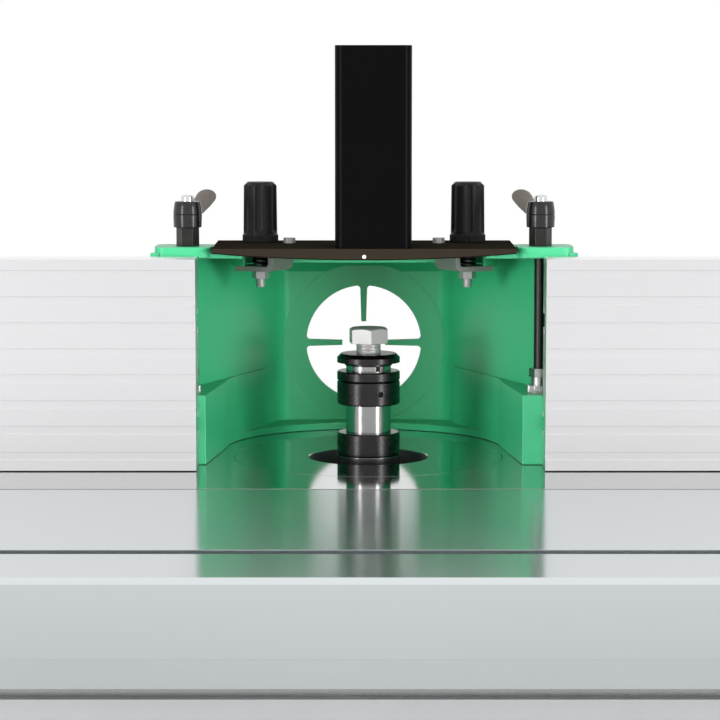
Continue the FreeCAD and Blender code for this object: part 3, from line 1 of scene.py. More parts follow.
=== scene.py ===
"""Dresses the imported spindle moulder: finishes, small fittings, light and camera.

Sizes in the classes are millimetres about the spindle axis and the table top, X along the feed,
Y away from the operator and Z up. place() turns such a point into metres in the shared frame.
"""
import logging
import math
from dataclasses import dataclass
from enum import Enum
from typing import ClassVar, Mapping, Sequence

import bmesh
import bpy
from mathutils import Euler, Matrix, Vector


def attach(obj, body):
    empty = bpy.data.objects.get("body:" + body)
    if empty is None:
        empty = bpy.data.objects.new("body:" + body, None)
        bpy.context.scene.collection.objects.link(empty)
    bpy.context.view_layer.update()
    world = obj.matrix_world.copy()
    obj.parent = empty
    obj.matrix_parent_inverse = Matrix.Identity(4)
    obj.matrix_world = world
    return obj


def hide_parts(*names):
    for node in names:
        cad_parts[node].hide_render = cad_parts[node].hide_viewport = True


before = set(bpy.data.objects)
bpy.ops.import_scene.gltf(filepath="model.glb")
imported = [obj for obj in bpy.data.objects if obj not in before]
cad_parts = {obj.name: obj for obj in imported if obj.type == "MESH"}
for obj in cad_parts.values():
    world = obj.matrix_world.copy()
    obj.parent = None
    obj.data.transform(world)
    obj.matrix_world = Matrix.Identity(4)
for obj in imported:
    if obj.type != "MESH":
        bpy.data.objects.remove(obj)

LOG = logging.getLogger("spindle_moulder")
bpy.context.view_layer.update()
MM = 0.001
SPINDLE_Y = 75.5
TABLE_HEIGHT = 890.0
HOOD_X = -3.0
CLAMP_X = 116.0
CLAMP_Y = -22.0
HANDS = (("left", -1.0), ("right", 1.0))
NUMBER = "NodeSocketFloat"
WHOLE = "NodeSocketInt"
COLOUR = "NodeSocketColor"
VECTOR = "NodeSocketVector"
GEOMETRY = "NodeSocketGeometry"

Pair = tuple[float, float]
Point = tuple[float, float, float]
Column = tuple[float, float, int]
Profile = Sequence[Pair]
Node = bpy.types.Node
Socket = bpy.types.NodeSocket
Tree = bpy.types.NodeTree
Piece = bpy.types.Object
Material = bpy.types.Material


def place(x: float, y: float, z: float) -> Vector:
    """Turns millimetres about the spindle into metres in the shared frame."""
    return Vector((x, y + SPINDLE_Y, z + TABLE_HEIGHT)) * MM


def around(radius: float, turns: Sequence[float]) -> list[Pair]:
    """Gives the points of a circle about the axis at some angles."""
    return [(radius * math.cos(turn), radius * math.sin(turn)) for turn in turns]


def linked(name: str, data: bpy.types.ID) -> Piece:
    """Makes an object of a mesh, a lamp or a camera and links it to the scene.

    Args:
        name: Name of the object.
        data: What it shows.

    Returns:
        The object.
    """
    made = bpy.data.objects.new(name, data)
    bpy.context.scene.collection.objects.link(made)
    return made


class Grain(Enum):
    """How a surface was worked: how closely its fine lines lie along each axis, per metre."""

    NONE = (120.0, 120.0, 120.0)
    ALONG_X = (5.0, 700.0, 700.0)
    ALONG_Y = (700.0, 5.0, 700.0)
    TURNED = (40.0, 40.0, 1600.0)
    TURNED_Y = (40.0, 1600.0, 40.0)


class Facing(Enum):
    """Way that a fastener's head looks, as the turn that brings +Z there."""

    FRONT = (math.pi / 2, 0.0, 0.0)
    BACK = (-math.pi / 2, 0.0, 0.0)
    RIGHT = (0.0, math.pi / 2, 0.0)
    LEFT = (0.0, -math.pi / 2, 0.0)


class Wiring:
    """Adds nodes to one node tree and links them."""

    def __init__(self, tree: Tree) -> None:
        """Keeps the tree to fill."""
        self.tree = tree

    def add(self, kind: str, inputs: Mapping[str | int, object] | None = None, **settings: object) -> Node:
        """Adds one node.

        Args:
            kind: Type name of the node.
            inputs: Values, or sockets or nodes to link from, by the input's name or number.
            settings: Properties of the node, set before its inputs.

        Returns:
            The new node.
        """
        node = self.tree.nodes.new(kind)
        for key, value in settings.items():
            setattr(node, key, value)
        for key, value in (inputs or {}).items():
            source = value.outputs[0] if isinstance(value, Node) else value
            if isinstance(source, Socket):
                self.tree.links.new(source, node.inputs[key])
            else:
                node.inputs[key].default_value = source
        return node

    def math(self, operation: str, *values: object) -> Socket:
        """Adds a sum of numbers or sockets, taken in order."""
        return self.add("ShaderNodeMath", dict(enumerate(values)), operation=operation).outputs[0]

    def mix(self, share: object, first: object, second: object) -> Socket:
        """Mixes two colours or sockets by the share of the second."""
        return self.add("ShaderNodeMix", {0: share, 6: first, 7: second}, data_type="RGBA").outputs[2]

    def spot(self) -> Socket:
        """Gives the place on the surface in the object's own coordinates."""
        return self.add("ShaderNodeTexCoord").outputs["Object"]

    def noise(self, spot: Socket | Node, scale: object, detail: float, strength: float = 0.5) -> Socket:
        """Adds a cloudy noise.

        Args:
            spot: Place on the surface.
            scale: How close the clouds lie, as a number or a socket.
            detail: How many finer layers there are.
            strength: How much each finer layer shows.

        Returns:
            Socket of the noise, from 0 to 1.
        """
        inputs = {"Vector": spot, "Scale": scale, "Detail": detail, "Roughness": strength}
        return self.add("ShaderNodeTexNoise", inputs).outputs[0]


class SharedLooks:
    """Shader groups that several finishes use, each built once."""

    def __init__(self) -> None:
        """Builds the groups."""
        self.mottle = self._mottle()
        self.lines = self._lines()
        self.peel = self._peel()
        self.edges = self._edges()

    @staticmethod
    def _group(name: str, inputs: Mapping[str, str], outputs: Mapping[str, str]) -> tuple[Wiring, Mapping]:
        """Starts a shader group with named sockets.

        Args:
            name: Name of the group.
            inputs: Socket types by input name.
            outputs: Socket types by output name.

        Returns:
            The group's wiring and its inputs' sockets by name.
        """
        tree = bpy.data.node_groups.new(name, "ShaderNodeTree")
        for way, sockets in (("INPUT", inputs), ("OUTPUT", outputs)):
            for label, kind in sockets.items():
                tree.interface.new_socket(name=label, in_out=way, socket_type=kind)
        wiring = Wiring(tree)
        return wiring, wiring.add("NodeGroupInput").outputs

    def _mottle(self) -> Tree:
        """Soft cloudy change of a colour.

        Returns:
            Group with the clouded colour and the cloud's value.
        """
        inputs = {"Colour": COLOUR, "Amount": NUMBER, "Size": NUMBER}
        wiring, given = self._group("Soft mottle", inputs, {"Colour": COLOUR, "Value": NUMBER})
        noise = wiring.noise(wiring.spot(), given["Size"], 5.0, 0.6)
        swing = wiring.math("SUBTRACT", noise, 0.5)
        gain = wiring.math("MULTIPLY_ADD", swing, given["Amount"], 1.0)
        colour = wiring.add("ShaderNodeVectorMath", {0: given["Colour"], "Scale": gain}, operation="SCALE")
        wiring.add("NodeGroupOutput", {"Colour": colour, "Value": noise})
        return wiring.tree

    def _lines(self) -> Tree:
        """Fine lines left by a wheel, a die or a lathe tool.

        Returns:
            Group with the lines' value from 0 to 1.
        """
        wiring, given = self._group("Worked lines", {"Closeness": VECTOR}, {"Value": NUMBER})
        places = {0: wiring.spot(), 1: given["Closeness"]}
        spread = wiring.add("ShaderNodeVectorMath", places, operation="MULTIPLY")
        wiring.add("NodeGroupOutput", {"Value": wiring.noise(spread, 1.0, 3.0, 0.65)})
        return wiring.tree

    def _peel(self) -> Tree:
        """Fine skin of sprayed paint, castings and mouldings.

        Returns:
            Group with the skin's height from 0 to 1.
        """
        wiring, given = self._group("Fine skin", {"Size": NUMBER}, {"Height": NUMBER})
        wiring.add("NodeGroupOutput", {"Height": wiring.noise(wiring.spot(), given["Size"], 2.0)})
        return wiring.tree

    def _edges(self) -> Tree:
        """Softened edges and where they are rubbed.

        Returns:
            Group with the softened normal and a mask along the edges.
        """
        inputs = {"Radius": NUMBER, "Size": NUMBER}
        wiring, given = self._group("Soft edges", inputs, {"Normal": VECTOR, "Mask": NUMBER})
        bevel = wiring.add("ShaderNodeBevel", {"Radius": given["Radius"]}, samples=6)
        flat = wiring.add("ShaderNodeNewGeometry")
        normals = {0: bevel, 1: flat.outputs["Normal"]}
        dot = wiring.add("ShaderNodeVectorMath", normals, operation="DOT_PRODUCT")
        turned = wiring.math("SUBTRACT", 1.0, dot.outputs["Value"])
        rubbed = wiring.math("MULTIPLY", turned, wiring.noise(wiring.spot(), given["Size"], 4.0))
        mask = wiring.add("ShaderNodeMapRange", {"Value": rubbed, "From Min": 0.015, "From Max": 0.11})
        wiring.add("NodeGroupOutput", {"Normal": bevel, "Mask": mask})
        return wiring.tree


@dataclass(frozen=True)
class Finish:
    """One surface finish; its look varies over the surface by the fields below."""

    name: str
    colour: Point
    roughness: float
    metallic: float = 0.0
    specular: float = 0.5
    coat: float = 0.0
    coat_roughness: float = 0.1
    anisotropy: float = 0.0
    tangent: Point = (0.0, 0.0, 1.0)
    grain: Grain = Grain.NONE
    uneven: float = 0.1
    grain_depth: float = 0.0
    mottle: float = 0.1
    mottle_size: float = 30.0
    peel_depth: float = 0.0
    peel_size: float = 500.0
    edge: float = 0.5
    wear: float = 0.0
    wear_size: float = 160.0
    wear_colour: Point = (0.5, 0.5, 0.5)

    def material(self, looks: SharedLooks) -> Material:
        """Builds the finish as a material.

        Args:
            looks: Shader groups to place in it.

        Returns:
            The material.
        """
        material = bpy.data.materials.new(self.name)
        material.use_nodes = True
        material.node_tree.nodes.clear()
        wiring = Wiring(material.node_tree)
        clouds = {"Colour": (*self.colour, 1.0), "Amount": self.mottle, "Size": self.mottle_size}
        mottle = wiring.add("ShaderNodeGroup", clouds, node_tree=looks.mottle)
        lines = wiring.add("ShaderNodeGroup", {"Closeness": self.grain.value}, node_tree=looks.lines)
        skin = wiring.add("ShaderNodeGroup", {"Size": self.peel_size}, node_tree=looks.peel)
        rims = {"Radius": self.edge * MM, "Size": self.wear_size}
        edges = wiring.add("ShaderNodeGroup", rims, node_tree=looks.edges)
        lined = wiring.add("ShaderNodeBump", {
            "Height": lines, "Strength": 1.0, "Distance": self.grain_depth * MM,
            "Normal": edges.outputs["Normal"]})
        skinned = wiring.add("ShaderNodeBump", {
            "Height": skin, "Strength": 1.0, "Distance": self.peel_depth * MM, "Normal": lined})
        shader = wiring.add("ShaderNodeBsdfPrincipled", {
            "Base Color": self._colour(wiring, mottle.outputs["Colour"], edges.outputs["Mask"]),
            "Roughness": self._roughness(wiring, lines.outputs["Value"], mottle.outputs["Value"]),
            "Metallic": self._metal(wiring), "Normal": skinned,
            "Specular IOR Level": self.specular, "Coat Weight": self.coat,
            "Coat Roughness": self.coat_roughness, "Anisotropic": self.anisotropy})
        if self.anisotropy:
            way = wiring.add("ShaderNodeCombineXYZ", dict(enumerate(self.tangent)))
            wiring.tree.links.new(way.outputs[0], shader.inputs["Tangent"])
        wiring.add("ShaderNodeOutputMaterial", {"Surface": shader})
        return material

    def _colour(self, wiring: Wiring, colour: Socket, mask: Socket) -> Socket:
        """Rubs the clouded colour where the mask shows the edges."""
        return wiring.mix(wiring.math("MULTIPLY", mask, self.wear), colour, (*self.wear_colour, 1.0))

    def _roughness(self, wiring: Wiring, lines: Socket, cloud: Socket) -> Socket:
        """Makes the gloss uneven by the worked lines and the soft mottle."""
        both = wiring.math("ADD", lines, cloud)
        return wiring.math("MULTIPLY_ADD", both, self.uneven, self.roughness - self.uneven)

    def _metal(self, wiring: Wiring) -> float | Socket:
        """Gives how much of a metal it is, the same all over."""
        return self.metallic


@dataclass(frozen=True)
class GroundTop(Finish):
    """Metal ground bright on its top face alone, and painted elsewhere."""

    side_colour: Point = (0.05, 0.052, 0.055)
    side_roughness: float = 0.55
    top: float = TABLE_HEIGHT
    skin: float = 0.4

    def _metal(self, wiring: Wiring) -> float | Socket:
        """Makes metal of the top face alone, found by its height.

        Args:
            wiring: The material's wiring.

        Returns:
            Socket that is 1 on the top face.
        """
        split = wiring.add("ShaderNodeSeparateXYZ", {0: wiring.spot()})
        return wiring.math("GREATER_THAN", split.outputs["Z"], (self.top - self.skin) * MM)

    def _colour(self, wiring: Wiring, colour: Socket, mask: Socket) -> Socket:
        """Puts the paint on the sides, beside the rubbed colour of the top."""
        rubbed = super()._colour(wiring, colour, mask)
        return wiring.mix(self._metal(wiring), (*self.side_colour, 1.0), rubbed)

    def _roughness(self, wiring: Wiring, lines: Socket, cloud: Socket) -> Socket:
        """Keeps the sides duller than the top.

        Args:
            wiring: The material's wiring.
            lines: Value of the worked lines.
            cloud: Value of the soft mottle.

        Returns:
            Socket of the roughness.
        """
        bright = super()._roughness(wiring, lines, cloud)
        gap = wiring.math("SUBTRACT", bright, self.side_roughness)
        return wiring.math("MULTIPLY_ADD", gap, self._metal(wiring), self.side_roughness)


class Paintbox:
    """Every finish of the machine, each made into a material once."""

    FINISHES = (
        Finish("green_enamel", (0.036, 0.43, 0.19), 0.42, coat=0.3, coat_roughness=0.3, mottle=0.12,
               mottle_size=18.0, peel_depth=0.02, peel_size=420.0, edge=1.2, wear=0.4,
               wear_colour=(0.25, 0.6, 0.42)),
        Finish("dark_paint", (0.045, 0.05, 0.052), 0.42, peel_depth=0.03, peel_size=600.0, edge=1.0, wear=0.3,
               wear_colour=(0.2, 0.2, 0.2)),
        Finish("grey_paint", (0.28, 0.3, 0.31), 0.45, peel_depth=0.05, peel_size=380.0, edge=1.0),
        GroundTop("ground_iron", (0.55, 0.565, 0.555), 0.085, uneven=0.035, grain=Grain.ALONG_X, mottle=0.06,
                  mottle_size=9.0, grain_depth=0.0006, edge=0.4),
        Finish("fence_aluminium", (0.89, 0.875, 0.89), 0.42, metallic=1.0, anisotropy=0.5,
               grain=Grain.ALONG_X, grain_depth=0.002, mottle=0.05, mottle_size=6.0, edge=0.25),
        Finish("slide_aluminium", (0.74, 0.785, 0.79), 0.19, metallic=1.0, anisotropy=0.8,
               tangent=(0.0, 1.0, 0.0), grain=Grain.ALONG_X, uneven=0.05, grain_depth=0.002, mottle=0.05,
               mottle_size=5.0, edge=0.4),
        Finish("beam_aluminium", (0.72, 0.73, 0.74), 0.38, metallic=1.0, grain=Grain.ALONG_X, uneven=0.12,
               grain_depth=0.003, edge=0.6),
        Finish("turned_aluminium", (0.7, 0.7, 0.7), 0.3, metallic=1.0, grain=Grain.TURNED, uneven=0.15,
               grain_depth=0.004, edge=0.4),
        Finish("polished_shaft", (0.38, 0.375, 0.37), 0.2, metallic=1.0, grain=Grain.TURNED, uneven=0.08,
               grain_depth=0.0015, mottle=0.06, mottle_size=60.0, edge=0.3),
        Finish("bright_steel", (0.5, 0.5, 0.49), 0.27, metallic=1.0, grain=Grain.TURNED, grain_depth=0.002,
               edge=0.3),
        Finish("zinc_plate", (0.38, 0.375, 0.37), 0.42, metallic=0.6, uneven=0.12, mottle=0.2,
               mottle_size=150.0, peel_depth=0.004, peel_size=900.0),
        Finish("dark_hexagon", (0.05, 0.048, 0.046), 0.36, metallic=1.0, uneven=0.15, mottle=0.4,
               mottle_size=220.0, edge=0.4, wear=0.5, wear_colour=(0.4, 0.38, 0.36)),
        Finish("black_steel", (0.045, 0.042, 0.043), 0.27, metallic=1.0, grain=Grain.TURNED, uneven=0.12,
               mottle=0.5, mottle_size=160.0, grain_depth=0.003, edge=0.6, wear=0.6,
               wear_colour=(0.25, 0.24, 0.23)),
        Finish("black_coat", (0.026, 0.021, 0.015), 0.5, specular=0.0, uneven=0.08, mottle=0.3,
               mottle_size=40.0, peel_depth=0.01, wear=0.25, wear_colour=(0.1, 0.08, 0.06)),
        Finish("black_post", (0.0015, 0.0015, 0.0018), 0.26, specular=0.05, uneven=0.08, mottle=0.2,
               peel_depth=0.01, peel_size=420.0, edge=1.0),
        Finish("folded_steel", (0.24, 0.235, 0.225), 0.4, metallic=0.35, grain=Grain.ALONG_Y, uneven=0.14,
               mottle=0.25, mottle_size=120.0, grain_depth=0.003),
        Finish("spring_wire", (0.03, 0.03, 0.03), 0.32, metallic=1.0, uneven=0.12, mottle=0.4,
               mottle_size=300.0, edge=0.1),
        Finish("knob_moulding", (0.01, 0.009, 0.01), 0.36, specular=0.16, mottle=0.2, mottle_size=90.0,
               peel_depth=0.012, peel_size=1400.0),
        Finish("hub_moulding", (0.006, 0.006, 0.006), 0.2, uneven=0.06, mottle=0.2, mottle_size=90.0,
               peel_depth=0.004, peel_size=900.0, edge=0.3),
        # Lever arm: the hub's black plastic painted a lighter brownish grey, a painted sheen of the bright
        # surroundings seen at a grazing angle.
        Finish("arm_painted_sheen", (0.1, 0.083, 0.066), 0.5, specular=0.35, mottle=0.25, mottle_size=120.0,
               peel_depth=0.03, peel_size=1500.0, edge=0.3),
        Finish("chrome", (0.72, 0.72, 0.73), 0.1, metallic=1.0, uneven=0.05, mottle=0.05, edge=0.2),
        Finish("wheel_moulding", (0.014, 0.014, 0.015), 0.32, specular=0.45, mottle=0.2, mottle_size=60.0,
               peel_depth=0.01, peel_size=900.0, edge=0.8),
        Finish("grey_moulding", (0.3, 0.31, 0.32), 0.5, uneven=0.08, mottle=0.08, peel_depth=0.03,
               peel_size=1200.0, edge=0.8),
        Finish("start_green", (0.05, 0.45, 0.14), 0.25, uneven=0.06, mottle=0.06, mottle_size=80.0, edge=0.6),
        Finish("stop_red", (0.62, 0.03, 0.03), 0.25, uneven=0.06, mottle=0.06, mottle_size=80.0, edge=0.8),
        Finish("rubber", (0.028, 0.028, 0.028), 0.7, specular=0.3, mottle=0.3, mottle_size=70.0,
               peel_depth=0.05, peel_size=700.0, edge=0.8),
        Finish("bronze", (0.62, 0.42, 0.18), 0.3, metallic=1.0, grain=Grain.TURNED_Y, uneven=0.14,
               mottle=0.25, mottle_size=80.0, grain_depth=0.004, edge=0.4),
        Finish("white_dot", (0.82, 0.82, 0.8), 0.4, uneven=0.06, mottle=0.06, mottle_size=300.0, edge=0.1),
        Finish("notch_shadow", (0.012, 0.011, 0.01), 0.6, specular=0.2, mottle=0.3, mottle_size=300.0,
               edge=0.1),
    )

    def __init__(self) -> None:
        """Builds the shared groups and every material."""
        looks = SharedLooks()
        self._materials = {finish.name: finish.material(looks) for finish in self.FINISHES}

    def __getitem__(self, name: str) -> Material:
        """Gives the material of a finish by its name."""
        return self._materials[name]

    def coat(self, name: str, *nodes: str) -> None:
        """Puts a finish on solids of the frame.

        Args:
            name: Finish.
            nodes: Names of the solids.
        """
        for node in nodes:
            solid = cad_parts[node]
            if not solid.material_slots:
                solid.data.materials.append(self[name])
            for slot in solid.material_slots:
                slot.material = self[name]
            LOG.info("coated %s with %s", node, name)


class Shape:
    """A mesh in the making, in millimetres, kept until it is set in its place."""

    MERGE = 1e-6
    SMOOTH_ANGLE = math.radians(34)

    def __init__(self) -> None:
        """Starts with no faces."""
        self.mesh = bmesh.new()

    def rings(self, rows: Sequence[Sequence[Point]], closed: bool = False) -> "Shape":
        """Joins rings of points, each ring one or several points, into a skin.

        Args:
            rows: Rings in order; a ring of one point is a pole.
            closed: True where the last ring joins the first.

        Returns:
            This shape.
        """
        made = [[self.mesh.verts.new(point) for point in row] for row in rows]
        pairs = list(zip(made, made[1:])) + ([(made[-1], made[0])] if closed else [])
        for low, high in pairs:
            for i in range(max(len(low), len(high))):
                corners = [low[i % len(low)], low[(i + 1) % len(low)],
                           high[(i + 1) % len(high)], high[i % len(high)]]
                self.mesh.faces.new(list(dict.fromkeys(corners)))
        if not closed:
            for row in (made[0], made[-1]):
                if len(row) > 2:
                    self.mesh.faces.new(row)
        return self

    def lathe(self, profile: Profile, sides: int) -> "Shape":
        """Turns a profile of radius and height about Z.

        Args:
            profile: Radius and height of each ring; a radius of zero is a pole.
            sides: Points in a ring.

        Returns:
            This shape.
        """
        turns = [2 * math.pi * i / sides for i in range(sides)]
        rows = [[(0.0, 0.0, z)] if radius == 0 else [(x, y, z) for x, y in around(radius, turns)]
                for radius, z in profile]
        return self.rings(rows, closed=profile[0][0] > 0)

    def prism(self, outline: Profile, low: float, high: float) -> "Shape":
        """Carries an outline in XY up along Z."""
        return self.rings([[(x, y, z) for x, y in outline] for z in (low, high)])

    def piece(self, name: str, material: Material, matrix: Matrix | None = None) -> Piece:
        """Sets the shape in its place as an object at the origin.

        Args:
            name: Name of the piece.
            material: Its finish.
            matrix: Turn and shift in millimetres about the spindle, or None to leave it as drawn.

        Returns:
            The object.
        """
        if matrix is not None:
            bmesh.ops.transform(self.mesh, matrix=matrix, verts=self.mesh.verts)
            bmesh.ops.translate(self.mesh, vec=(0.0, SPINDLE_Y, TABLE_HEIGHT), verts=self.mesh.verts)
        bmesh.ops.scale(self.mesh, vec=(MM, MM, MM), verts=self.mesh.verts)
        bmesh.ops.remove_doubles(self.mesh, verts=self.mesh.verts, dist=self.MERGE)
        bmesh.ops.recalc_face_normals(self.mesh, faces=self.mesh.faces)
        for face in self.mesh.faces:
            face.smooth = True
        for edge in self.mesh.edges:
            edge.smooth = len(edge.link_faces) != 2 or edge.calc_face_angle() < self.SMOOTH_ANGLE
        data = bpy.data.meshes.new(name)
        self.mesh.to_mesh(data)
        self.mesh.free()
        data.materials.append(material)
        return linked(name, data)


class RepeatTree:
    """A Geometry Nodes tree with named inputs, run on a template and kept as a plain mesh."""

    def __init__(self, name: str, inputs: Mapping[str, str]) -> None:
        """Starts the tree with its sockets.

        Args:
            name: Name of the tree.
            inputs: Socket types by input name.
        """
        self.tree = bpy.data.node_groups.new(name, "GeometryNodeTree")
        for label, kind in {"Template": GEOMETRY, **inputs, "Material": "NodeSocketMaterial"}.items():
            self.tree.interface.new_socket(name=label, in_out="INPUT", socket_type=kind)
        self.tree.interface.new_socket(name="Pieces", in_out="OUTPUT", socket_type=GEOMETRY)
        self.names = {item.name: item.identifier for item in self.tree.interface.items_tree}
        self.wiring = Wiring(self.tree)
        self.given = self.wiring.add("NodeGroupInput").outputs

    def close(self, pieces: Node) -> None:
        """Ends the tree with real meshes in one finish.

        Args:
            pieces: Node that gives the repeated pieces.
        """
        add = self.wiring.add
        real = add("GeometryNodeRealizeInstances", {0: pieces})
        finish = add("GeometryNodeSetMaterial", {"Geometry": real, "Material": self.given["Material"]})
        add("NodeGroupOutput", {0: finish})

    def make(self, name: str, template: Piece, values: Mapping[str, object]) -> Piece:
        """Runs the tree and keeps its result.

        Args:
            name: Name of the piece.
            template: Object with the shape to repeat, which is used up.
            values: Inputs by name.

        Returns:
            The piece as a plain mesh at the origin.
        """
        modifier = template.modifiers.new("repeat", "NODES")
        modifier.node_group = self.tree
        for label, value in values.items():
            modifier[self.names[label]] = value
        bpy.context.view_layer.update()
        evaluated = template.evaluated_get(bpy.context.evaluated_depsgraph_get())
        data = bpy.data.meshes.new_from_object(evaluated)
        template.modifiers.remove(modifier)
        bpy.data.objects.remove(template)
        data.name = name
        return linked(name, data)


class RibRing(RepeatTree):
    """Ribs set all round an upright axis."""

    def __init__(self) -> None:
        """Builds the tree."""
        super().__init__("Rib ring", {"Count": WHOLE, "Radius": NUMBER, "Centre": VECTOR})
        add, given = self.wiring.add, self.given
        circle = add("GeometryNodeMeshCircle", {"Vertices": given["Count"], "Radius": given["Radius"]})
        index = add("GeometryNodeInputIndex")
        step = self.wiring.math("DIVIDE", 2 * math.pi, given["Count"])
        angle = self.wiring.math("MULTIPLY", index, step)
        turn = add("ShaderNodeCombineXYZ", {2: angle})
        ribs = add("GeometryNodeInstanceOnPoints", {"Points": circle, "Rotation": turn,
                                                    "Instance": given["Template"]})
        self.close(add("GeometryNodeTransform", {"Geometry": ribs, "Translation": given["Centre"]}))


class FastenerRow(RepeatTree):
    """Fasteners in a straight row, all facing one way."""

    def __init__(self) -> None:
        """Builds the tree."""
        super().__init__("Fastener row", {"Count": WHOLE, "Start": VECTOR, "Step": VECTOR, "Turn": VECTOR})
        add, given = self.wiring.add, self.given
        line = add("GeometryNodeMeshLine", {
            "Count": given["Count"], "Start Location": given["Start"], "Offset": given["Step"]})
        self.close(add("GeometryNodeInstanceOnPoints", {
            "Points": line, "Rotation": given["Turn"], "Instance": given["Template"]}))


class WireCoil(RepeatTree):
    """Round wire wound about an upright axis, for springs and threads; its template only carries the tree."""

    STEPS = 40
    SIDES = 12

    def __init__(self) -> None:
        """Builds the tree."""
        super().__init__("Wire coil", {
            "Turns": NUMBER, "Radius": NUMBER, "Height": NUMBER, "Wire": NUMBER, "Centre": VECTOR})
        add, given = self.wiring.add, self.given
        spiral = add("GeometryNodeCurveSpiral", {
            "Resolution": self.STEPS, "Rotations": given["Turns"], "Start Radius": given["Radius"],
            "End Radius": given["Radius"], "Height": given["Height"]})
        section = add("GeometryNodeCurvePrimitiveCircle", {"Resolution": self.SIDES, "Radius": given["Wire"]})
        wire = add("GeometryNodeCurveToMesh", {"Curve": spiral, "Profile Curve": section, "Fill Caps": True})
        smooth = add("GeometryNodeSetShadeSmooth", {"Geometry": wire})
        self.close(add("GeometryNodeTransform", {"Geometry": smooth, "Translation": given["Centre"]}))


@dataclass
class Workshop:
    """What every sub-assembly needs to make and dress its pieces."""

    paint: Paintbox
    ribs: RibRing
    rows: FastenerRow
    coils: WireCoil
    head_foot: float = 0.97
    head_sunk: float = 0.4
    head_sides: int = 18

    HEAD = ((1.0, 0.2), (0.9, 0.55), (0.68, 0.88), (0.46, 1.0), (0.42, 0.95), (0.42, 0.35), (0.0, 0.3))

    def seat(self, piece: Piece, body: str, slot: str, *replaced: str) -> None:
        """Lets a finished piece move with a body.

        Args:
            piece: The piece.
            body: Body that carries it.
            slot: Name of a material slot; not used.
            replaced: Solids that it stands for.
        """
        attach(piece, body)
        if replaced:
            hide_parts(*replaced)
        LOG.info("made %s on %s", piece.name, body)

    def rib_template(self, width: float, depth: float, height: float) -> Piece:
        """Draws one low rib that stands along Z and points along X."""
        outline = [(-depth, -width / 2), (0.0, -width / 2), (depth, -width / 8), (depth, width / 8),
                   (0.0, width / 2), (-depth, width / 2)]
        return Shape().prism(outline, 0.0, height).piece("rib", self.paint["chrome"])

    def screw_template(self, radius: float, height: float) -> Piece:
        """Draws one button head with a socket, looking along Z.

        Args:
            radius: Radius of the head.
            height: Height of the head.

        Returns:
            The template.
        """
        profile = [(0.0, -self.head_sunk), (radius * self.head_foot, -self.head_sunk)]
        profile += [(radius * across, height * up) for across, up in self.HEAD]
        return Shape().lathe(profile, self.head_sides).piece("head", self.paint["chrome"])

    def screws(self, name: str, body: str, first: Point, step: Point, count: int, facing: Facing,
               head: Pair) -> None:
        """Sets a row of plated button heads on a surface.

        Args:
            name: Name of the row.
            body: Body that carries it.
            first: Place of the first head.
            step: From one head to the next.
            count: How many heads.
            facing: Way that they look.
            head: Radius and height of a head.
        """
        values = {"Count": count, "Start": place(*first), "Step": Vector(step) * MM,
                  "Turn": Vector(facing.value), "Material": self.paint["zinc_plate"]}
        row = self.rows.make(name, self.screw_template(*head), values)
        self.seat(row, body, "zinc_steel")

    def rib_ring(self, name: str, finish: str, foot: Vector, radius: float, count: int, rib: Point) -> Piece:
        """Sets low ribs all round an upright axis.

        Args:
            name: Name of the piece.
            finish: Finish of the ribs.
            foot: Middle of the ring's foot, in the shared frame.
            radius: Radius of the face that they stand on.
            count: How many ribs.
            rib: Width, depth and height of one rib.

        Returns:
            The ring as one piece.
        """
        values = {"Count": count, "Radius": radius * MM, "Centre": foot, "Material": self.paint[finish]}
        return self.ribs.make(name, self.rib_template(*rib), values)

    def coil(self, name: str, finish: str, foot: Vector, turns: float, radius: float, wire: float,
             height: float) -> Piece:
        """Winds a wire about an upright axis.

        Args:
            name: Name of the piece.
            finish: Finish of the wire.
            foot: Middle of the coil's foot, in the shared frame.
            turns: How many turns.
            radius: Radius of the coil, to the middle of the wire.
            wire: Radius of the wire.
            height: From the first turn to the last.

        Returns:
            The coil.
        """
        values = {"Turns": turns, "Radius": radius * MM, "Wire": wire * MM, "Height": height * MM,
                  "Centre": foot, "Material": self.paint[finish]}
        return self.coils.make(name, self.rib_template(wire, wire, height), values)


@dataclass
class Assembly:
    """A sub-assembly: the finishes of its solids, and the small fittings made for it."""

    shop: Workshop

    COATS: ClassVar[Mapping[str, Sequence[str]]] = {}

    def dress(self) -> None:
        """Puts the finishes on the solids."""
        for finish, nodes in self.COATS.items():
            self.shop.paint.coat(finish, *nodes)

    def build(self) -> None:
        """Makes the fittings, where there are any."""


@dataclass
class SpindleStack(Assembly):
    """Spindle with its rings, collar, flange and arbor bolt."""

    notch_turn: float = 24.8
    notch_half_angle: float = 5.6
    notch_low: float = 58.7
    notch_high: float = 61.9
    notch_depth: float = 1.0
    notch_proud: float = 0.06
    shaft_radius: float = 15.0
    thread_radius: float = 7.75
    thread_wire: float = 0.55
    thread_low: float = 70.2
    thread_height: float = 6.2
    thread_turns: float = 3.2

    COATS = {
        "polished_shaft": ("spindle_shaft",),
        "black_steel": ("spacer_rings", "clamp_collar", "arbor_flange"),
        "zinc_plate": ("arbor_bolt",),
    }

    def build(self) -> None:
        """Makes a near-black band of painted shade for the notch in the shaft's end, and the bolt's thread.
        """
        arc = [math.radians(self.notch_turn - 90 + self.notch_half_angle * k / 4) for k in range(-4, 5)]
        outline = around(self.shaft_radius + self.notch_proud, arc)
        outline += around(self.shaft_radius - self.notch_depth, arc[::-1])
        # A dark band a hair proud of the shaft: painted shade where the notch's recess lies.
        shape = Shape().prism(outline, self.notch_low, self.notch_high)
        notch = shape.piece("shaft_notch_shade", self.shop.paint["notch_shadow"], Matrix.Identity(4))
        self.shop.seat(notch, "spindle", "black_steel")
        thread = self.shop.coil("arbor_bolt_thread", "zinc_plate", place(0.0, 0.0, self.thread_low),
                                self.thread_turns, self.thread_radius, self.thread_wire, self.thread_height)
        self.shop.seat(thread, "spindle", "zinc_steel")


